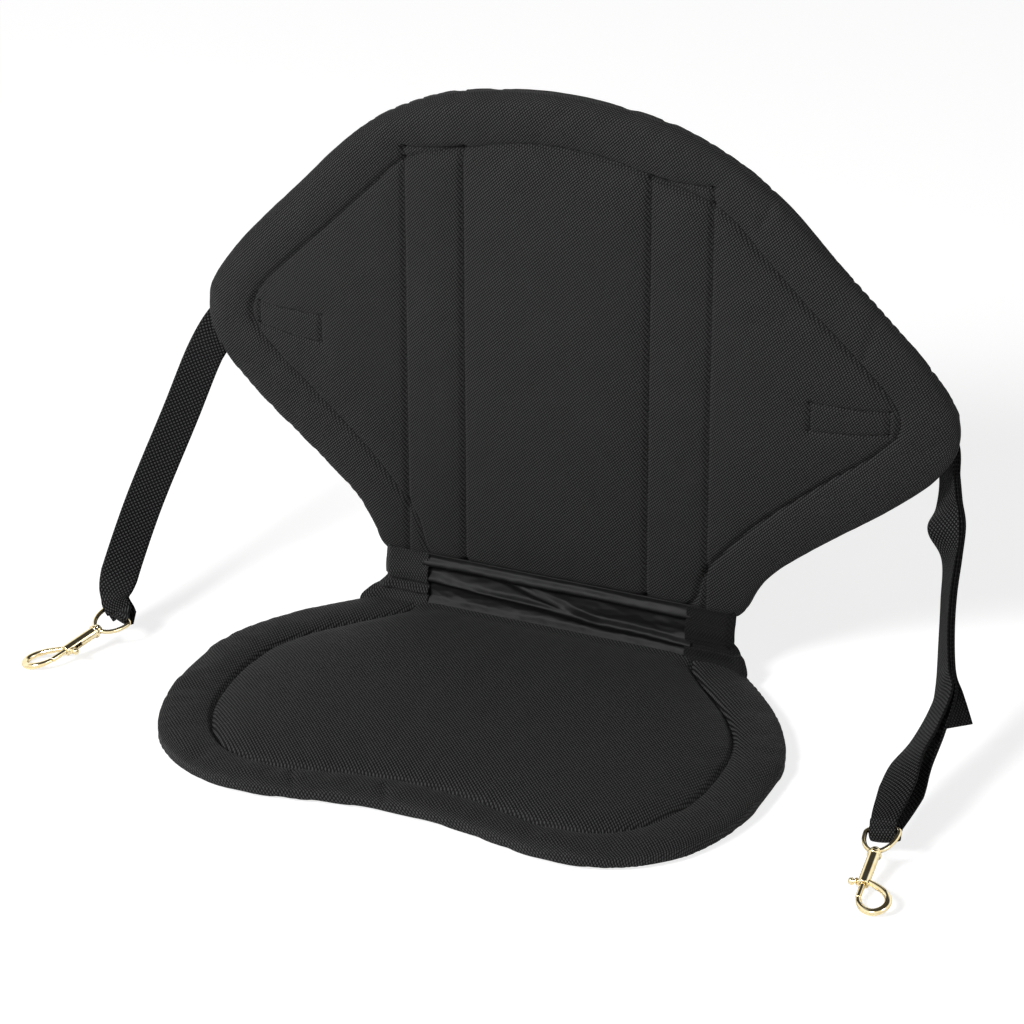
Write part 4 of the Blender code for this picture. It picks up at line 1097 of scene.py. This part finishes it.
def spun(profile, steps=48):
    """A solid turned round the hook's axis, x. The profile gives places along x and radii."""
    builder = bmesh.new()
    verts = [builder.verts.new((x, 0, r)) for x, r in profile]
    for a, b in zip(verts, verts[1:]):
        builder.edges.new((a, b))
    bmesh.ops.spin(
        builder, geom=builder.verts[:] + builder.edges[:], cent=(0, 0, 0), axis=(1, 0, 0),
        dvec=(0, 0, 0), angle=2 * math.pi, steps=steps, use_merge=True, use_duplicate=False,
    )
    bmesh.ops.remove_doubles(builder, verts=builder.verts, dist=0.002 * mm)
    bmesh.ops.recalc_face_normals(builder, faces=builder.faces)
    return builder


def wire(points, radii, closed=False, flatten=1.0):
    """A round wire along points in the hook's own plane, as a bmesh."""
    curve = bpy.data.curves.new("wire", "CURVE")
    curve.dimensions = "3D"
    curve.bevel_depth = 1.0
    curve.bevel_resolution = 8
    curve.use_fill_caps = not closed
    spline = curve.splines.new("POLY")
    spline.points.add(len(points) - 1)
    spline.use_cyclic_u = closed
    for point, (x, y), radius in zip(spline.points, points, np.broadcast_to(radii, len(points))):
        point.co = (x, y, 0, 1)
        point.radius = radius
    holder = bpy.data.objects.new("wire", curve)
    bpy.context.scene.collection.objects.link(holder)
    mesh = bpy.data.meshes.new_from_object(holder.evaluated_get(bpy.context.evaluated_depsgraph_get()))
    builder = bmesh.new()
    builder.from_mesh(mesh)
    bpy.data.objects.remove(holder, do_unlink=True)
    bmesh.ops.remove_doubles(builder, verts=builder.verts, dist=0.002 * mm)
    bmesh.ops.scale(builder, vec=(1, 1, flatten), verts=builder.verts)
    bmesh.ops.recalc_face_normals(builder, faces=builder.faces)
    return builder


def joined(*builders):
    """One bmesh with all the faces of several."""
    whole = bmesh.new()
    for builder in builders:
        mesh = bpy.data.meshes.new("part")
        builder.to_mesh(mesh)
        builder.free()
        whole.from_mesh(mesh)
        bpy.data.meshes.remove(mesh)
    return whole


def hook_matrix(side, across):
    """Where a hook's piece goes: x along the hook, y across."""
    pivot, axis, _, _ = hook_directions(side)
    square = np.cross(axis, across)
    columns = np.stack([axis, across, square, pivot], 1)
    return Matrix([list(row) for row in columns] + [[0, 0, 0, 1]])


def arc(x, y, radius_x, radius_y, degrees, count):
    """Points along part of an ellipse."""
    angles = np.radians(np.linspace(*degrees, count))
    return [(x + radius_x * math.cos(a), y + radius_y * math.sin(a)) for a in angles]


def eye_builder():
    """The ring that takes the webbing, with the boss and pin that the barrel turns on."""
    half, corner, length = 11 * mm, 3 * mm, 19.5 * mm
    flat = half - corner
    ring = [(0, y) for y in np.linspace(-flat, flat, 9)]
    ring += arc(corner, flat, corner, corner, (168, 102), 6)
    ring += arc(corner, 0, length - corner, half, (90, -90), 49)
    ring += arc(corner, -flat, corner, corner, (-102, -168), 6)
    boss = [
        (length - 2.8 * mm, 0), (length - 2.7 * mm, 1.0 * mm), (length - 2.0 * mm, 2.5 * mm),
        (length - 1.2 * mm, 3.2 * mm), (length - 0.2 * mm, 3.5 * mm), (20.2 * mm, 3.5 * mm),
        (20.8 * mm, 3.2 * mm), (21.0 * mm, 2.8 * mm), (21.0 * mm, 1.2 * mm), (23.8 * mm, 1.2 * mm),
        (23.8 * mm, 1.85 * mm), (25.0 * mm, 1.7 * mm), (25.1 * mm, 0),
    ]
    return joined(wire(ring, EYE_WIRE, closed=True), spun(boss))


def barrel_builder():
    """The barrel with its collar and bore."""
    start, end, bore = BARREL_START, BARREL_END, BORE_RADIUS
    profile = [
        (start + 2.2 * mm, 1.5 * mm), (start, 1.5 * mm), (start, 3.9 * mm), (start + 0.2 * mm, 4.3 * mm),
        (start + 0.7 * mm, 4.6 * mm), (start + 1.7 * mm, 4.6 * mm), (start + 2.2 * mm, 4.3 * mm),
        (start + 2.4 * mm, 3.8 * mm), (start + 2.6 * mm, BARREL_RADIUS),
        (end - 0.7 * mm, BARREL_RADIUS), (end - 0.2 * mm, 3.5 * mm), (end, 3.2 * mm), (end, bore),
        (start + 2.2 * mm, bore), (start + 2.2 * mm, 1.5 * mm),
    ]
    return spun(profile)


CLAW = [
    (44.5, 1.6, 1.0), (46.5, 4.0, 1.7), (49.2, 8.2, 2.0), (53.2, 13.8, 2.1), (58.6, 18.6, 2.2),
    (64.6, 20.3, 2.3), (69.6, 18.0, 2.4), (71.9, 12.8, 2.4), (70.0, 7.0, 2.3), (65.8, 2.8, 2.0),
    (60.5, 0.5, 1.75),
]


def claw_builder():
    """The curved hook that springs from the barrel's mouth: places along and across, and radii."""
    x, y, radius = (smooth_curve(CLAW, 0.5) * mm).T
    return wire(list(zip(x, y)), radius, flatten=0.92)


def knob_builder():
    """The bolt's thumb knob, turned round its own axis and set square to the bolt."""
    profile = [
        (-0.5, 0), (-0.5, 1.0), (-4.0, 1.0), (-4.2, 1.9), (-4.5, 2.25), (-5.0, 2.3), (-5.4, 2.0),
        (-5.7, 1.4), (-6.5, 1.4), (-6.9, 1.9), (-7.4, 2.3), (-8.7, 2.3), (-9.5, 1.9), (-9.9, 1.2),
        (-10.0, 0),
    ]
    builder = spun([(x * mm, radius * mm) for x, radius in profile], 32)
    upright = Matrix.Rotation(math.radians(90), 3, "Z")
    bmesh.ops.rotate(builder, verts=builder.verts, cent=(0, 0, 0), matrix=upright)
    bmesh.ops.translate(builder, verts=builder.verts, vec=(KNOB_AT, 0, 0))
    return builder


def bolt_builder():
    """The bolt that closes the hook, with its knob."""
    tip = BOLT_TIP - CLEARANCE
    profile = [
        (BOLT_REAR, 0), (BOLT_REAR, 1.5 * mm), (BOLT_REAR + 0.3 * mm, BOLT_RADIUS),
        (tip - 0.9 * mm, BOLT_RADIUS), (tip - 0.3 * mm, 1.6 * mm), (tip, 1.1 * mm), (tip, 0),
    ]
    return joined(spun(profile), knob_builder())


def cut_slot(obj):
    """Cuts the slot that the knob slides in through the barrel's wall."""
    half = 1.3 * mm
    builder = bmesh.new()
    size = Matrix.Diagonal((BOLT_TRAVEL + 2 * half, 5 * mm, 2 * half, 1))
    middle = Matrix.Translation((KNOB_AT - BOLT_TRAVEL / 2, -4.2 * mm, 0))
    bmesh.ops.create_cube(builder, size=1, matrix=middle @ size)
    cutter = mesh_object("slot_cutter", builder)
    cut = obj.modifiers.new("slot", "BOOLEAN")
    cut.operation = "DIFFERENCE"
    cut.object = cutter
    apply_modifiers(obj)
    bpy.data.objects.remove(cutter, do_unlink=True)


def metal(name, builder, matrix, body, node):
    """One finished brass piece, smooth but with its turned edges kept sharp."""
    obj = mesh_object(name, builder)
    if name.endswith("barrel"):
        cut_slot(obj)
    obj.data.transform(matrix)
    finish_piece(obj, BRASS, body, node, slot="brass")
    obj.data.set_sharp_from_angle(angle=math.radians(38))


def spring_piece(side):
    """The coil behind the bolt, taken over from the CAD model. On the real hook it shortens as the bolt
    slides back.
    """
    coil = bmesh.new()
    coil.from_mesh(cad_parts[f"{side}_bolt_spring"].data)
    bmesh.ops.remove_doubles(coil, verts=coil.verts, dist=0.01 * mm)
    obj = mesh_object(f"{side}_spring", coil)
    finish_piece(obj, STEEL, f"{side}_hook", f"{side}_bolt_spring", slot="steel")
    pivot, axis, _, _ = hook_directions(side)
    reach = (places(obj.data) - pivot) @ axis
    anchor = pivot + axis * reach.min()
    tuple(axis)
    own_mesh(obj)


for side in ("left", "right"):
    _, _, bulge, bar = hook_directions(side)
    eye_place, hook_place = hook_matrix(side, bar), hook_matrix(side, bulge)
    metal(f"{side}_ring", eye_builder(), eye_place, f"{side}_eye", f"{side}_swivel_eye")
    metal(f"{side}_barrel", barrel_builder(), hook_place, f"{side}_hook", f"{side}_hook_body")
    metal(f"{side}_claw", claw_builder(), hook_place, f"{side}_hook", f"{side}_hook_body")
    metal(f"{side}_bolt", bolt_builder(), hook_place, f"{side}_bolt", f"{side}_hook_bolt")
    spring_piece(side)

# %% [markdown]
# The adjusters are moulded plastic and the battens are sheet plastic. Their CAD solids already
# have the right shape, so they keep it and only get a finish, with the adjuster's edges softened.
# %% Plastic


def plastic_finish(name, tone):
    finish = Finish(name)
    place = finish.node("ShaderNodeTexCoord", None, None, out=3)
    grain = finish.noise(place, 1400.0, 3.0, 0.6)
    colour = finish.mix(grain, tuple(c * 0.8 for c in tone), tuple(c * 1.2 for c in tone))
    relief = finish.bump(grain, 0.08 * mm, 0.4)
    return finish.surface(Base_Color=colour, Roughness=grain * 0.2 + 0.35, Normal=relief)


MOULDED = plastic_finish("moulded_plastic", (0.016, 0.016, 0.017))
SHEET = plastic_finish("sheet_plastic", (0.55, 0.56, 0.56))
for side in ("left", "right"):
    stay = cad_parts[f"{side}_back_stay"]
    stay.data.materials.clear()
    stay.data.materials.append(SHEET)
    lock = bmesh.new()
    lock.from_mesh(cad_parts[f"{side}_ladder_lock"].data)
    bmesh.ops.remove_doubles(lock, verts=lock.verts, dist=0.01 * mm)
    bmesh.ops.dissolve_limit(lock, angle_limit=math.radians(2), verts=lock.verts, edges=lock.edges)
    sharp = [e for e in lock.edges if e.is_manifold and e.calc_face_angle(0) > math.radians(40)]
    bmesh.ops.bevel(
        lock, geom=sharp, offset=0.45 * mm, segments=2, profile=0.5, affect="EDGES",
        material=-1, clamp_overlap=True,
    )
    buckle = mesh_object(f"{side}_buckle", lock)
    finish_piece(buckle, MOULDED, "seat", f"{side}_ladder_lock", slot="plastic")
    buckle.data.set_sharp_from_angle(angle=math.radians(35))

# %% [markdown]
# The floor is a plain pale sheet. Part of its white comes from its own glow, so that the
# background stays white while the soft shadow of the seat still shows on it.
# %% Floor, world and lamps
builder = bmesh.new()
bmesh.ops.create_grid(builder, x_segments=1, y_segments=1, size=12)
floor = mesh_object("floor", builder)
paper = Finish("paper")
glow = paper.node("ShaderNodeEmission", None, {"Color": (1.0, 1.0, 1.0), "Strength": 1.31})
seen = paper.node("ShaderNodeLightPath")
paper.surface(Base_Color=(0.97, 0.97, 0.97), Roughness=0.95)
mixed = paper.tree.nodes.new("ShaderNodeMixShader")
paper.tree.links.new((seen * 0.59).socket, mixed.inputs[0])
paper.tree.links.new(paper.shader.outputs[0], mixed.inputs[1])
paper.tree.links.new(glow.socket, mixed.inputs[2])
paper.tree.links.new(mixed.outputs[0], paper.tree.nodes["Material Output"].inputs[0])
floor.data.materials.append(paper.material)
floor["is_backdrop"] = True


class Sky(Finish):
    """The world's nodes, made in the same way as a material's."""

    def __init__(self, world):
        world.use_nodes = True
        self.tree = world.node_tree
        self.shader = self.tree.nodes["Background"]


world = bpy.data.worlds.new("studio")
bpy.context.scene.world = world
sky = Sky(world)
way = sky.split(sky.node("ShaderNodeTexCoord", None, None, out=0))[2]
camera_ray = sky.node("ShaderNodeLightPath", None, None, out=0)
glossy_ray = sky.node("ShaderNodeLightPath", None, None, out=3)
ceiling = 1.15 - way.step(0.55, 0.80) * 1.1
level = camera_ray + (1.0 - camera_ray) * (glossy_ray * ceiling + (1.0 - glossy_ray) * 0.13)
sky.feed(sky.shader.inputs["Strength"], level)
sky.feed(sky.shader.inputs["Color"], (1.0, 1.0, 1.0))


def lamp(name, place, size, power):
    """A soft square lamp aimed at the middle of the seat."""
    light = bpy.data.lights.new(name, "AREA")
    light.size = size
    light.energy = power
    obj = bpy.data.objects.new(name, light)
    bpy.context.scene.collection.objects.link(obj)
    aim = Vector((0, 0.02, 0.15)) - Vector(place)
    obj.matrix_world = Matrix.Translation(place) @ aim.to_track_quat("-Z", "Y").to_matrix().to_4x4()


lamp("key", (-1.15, -2.35, 2.05), 0.9, 128)
lamp("side", (2.2, -1.4, 1.5), 1.2, 14)
bpy.context.scene.view_settings.view_transform = "Standard"

# %% [markdown]
# Last, the reach of the visible pieces is printed beside that of the CAD model, because the two have to
# agree.
# %% Reach of the pieces
boxes = {"cad": CAD_BOX, "visual": [list(corner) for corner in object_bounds()]}
{key: [[float(v) for v in corner] for corner in box] for key, box in boxes.items()}
print("boxes:", boxes)
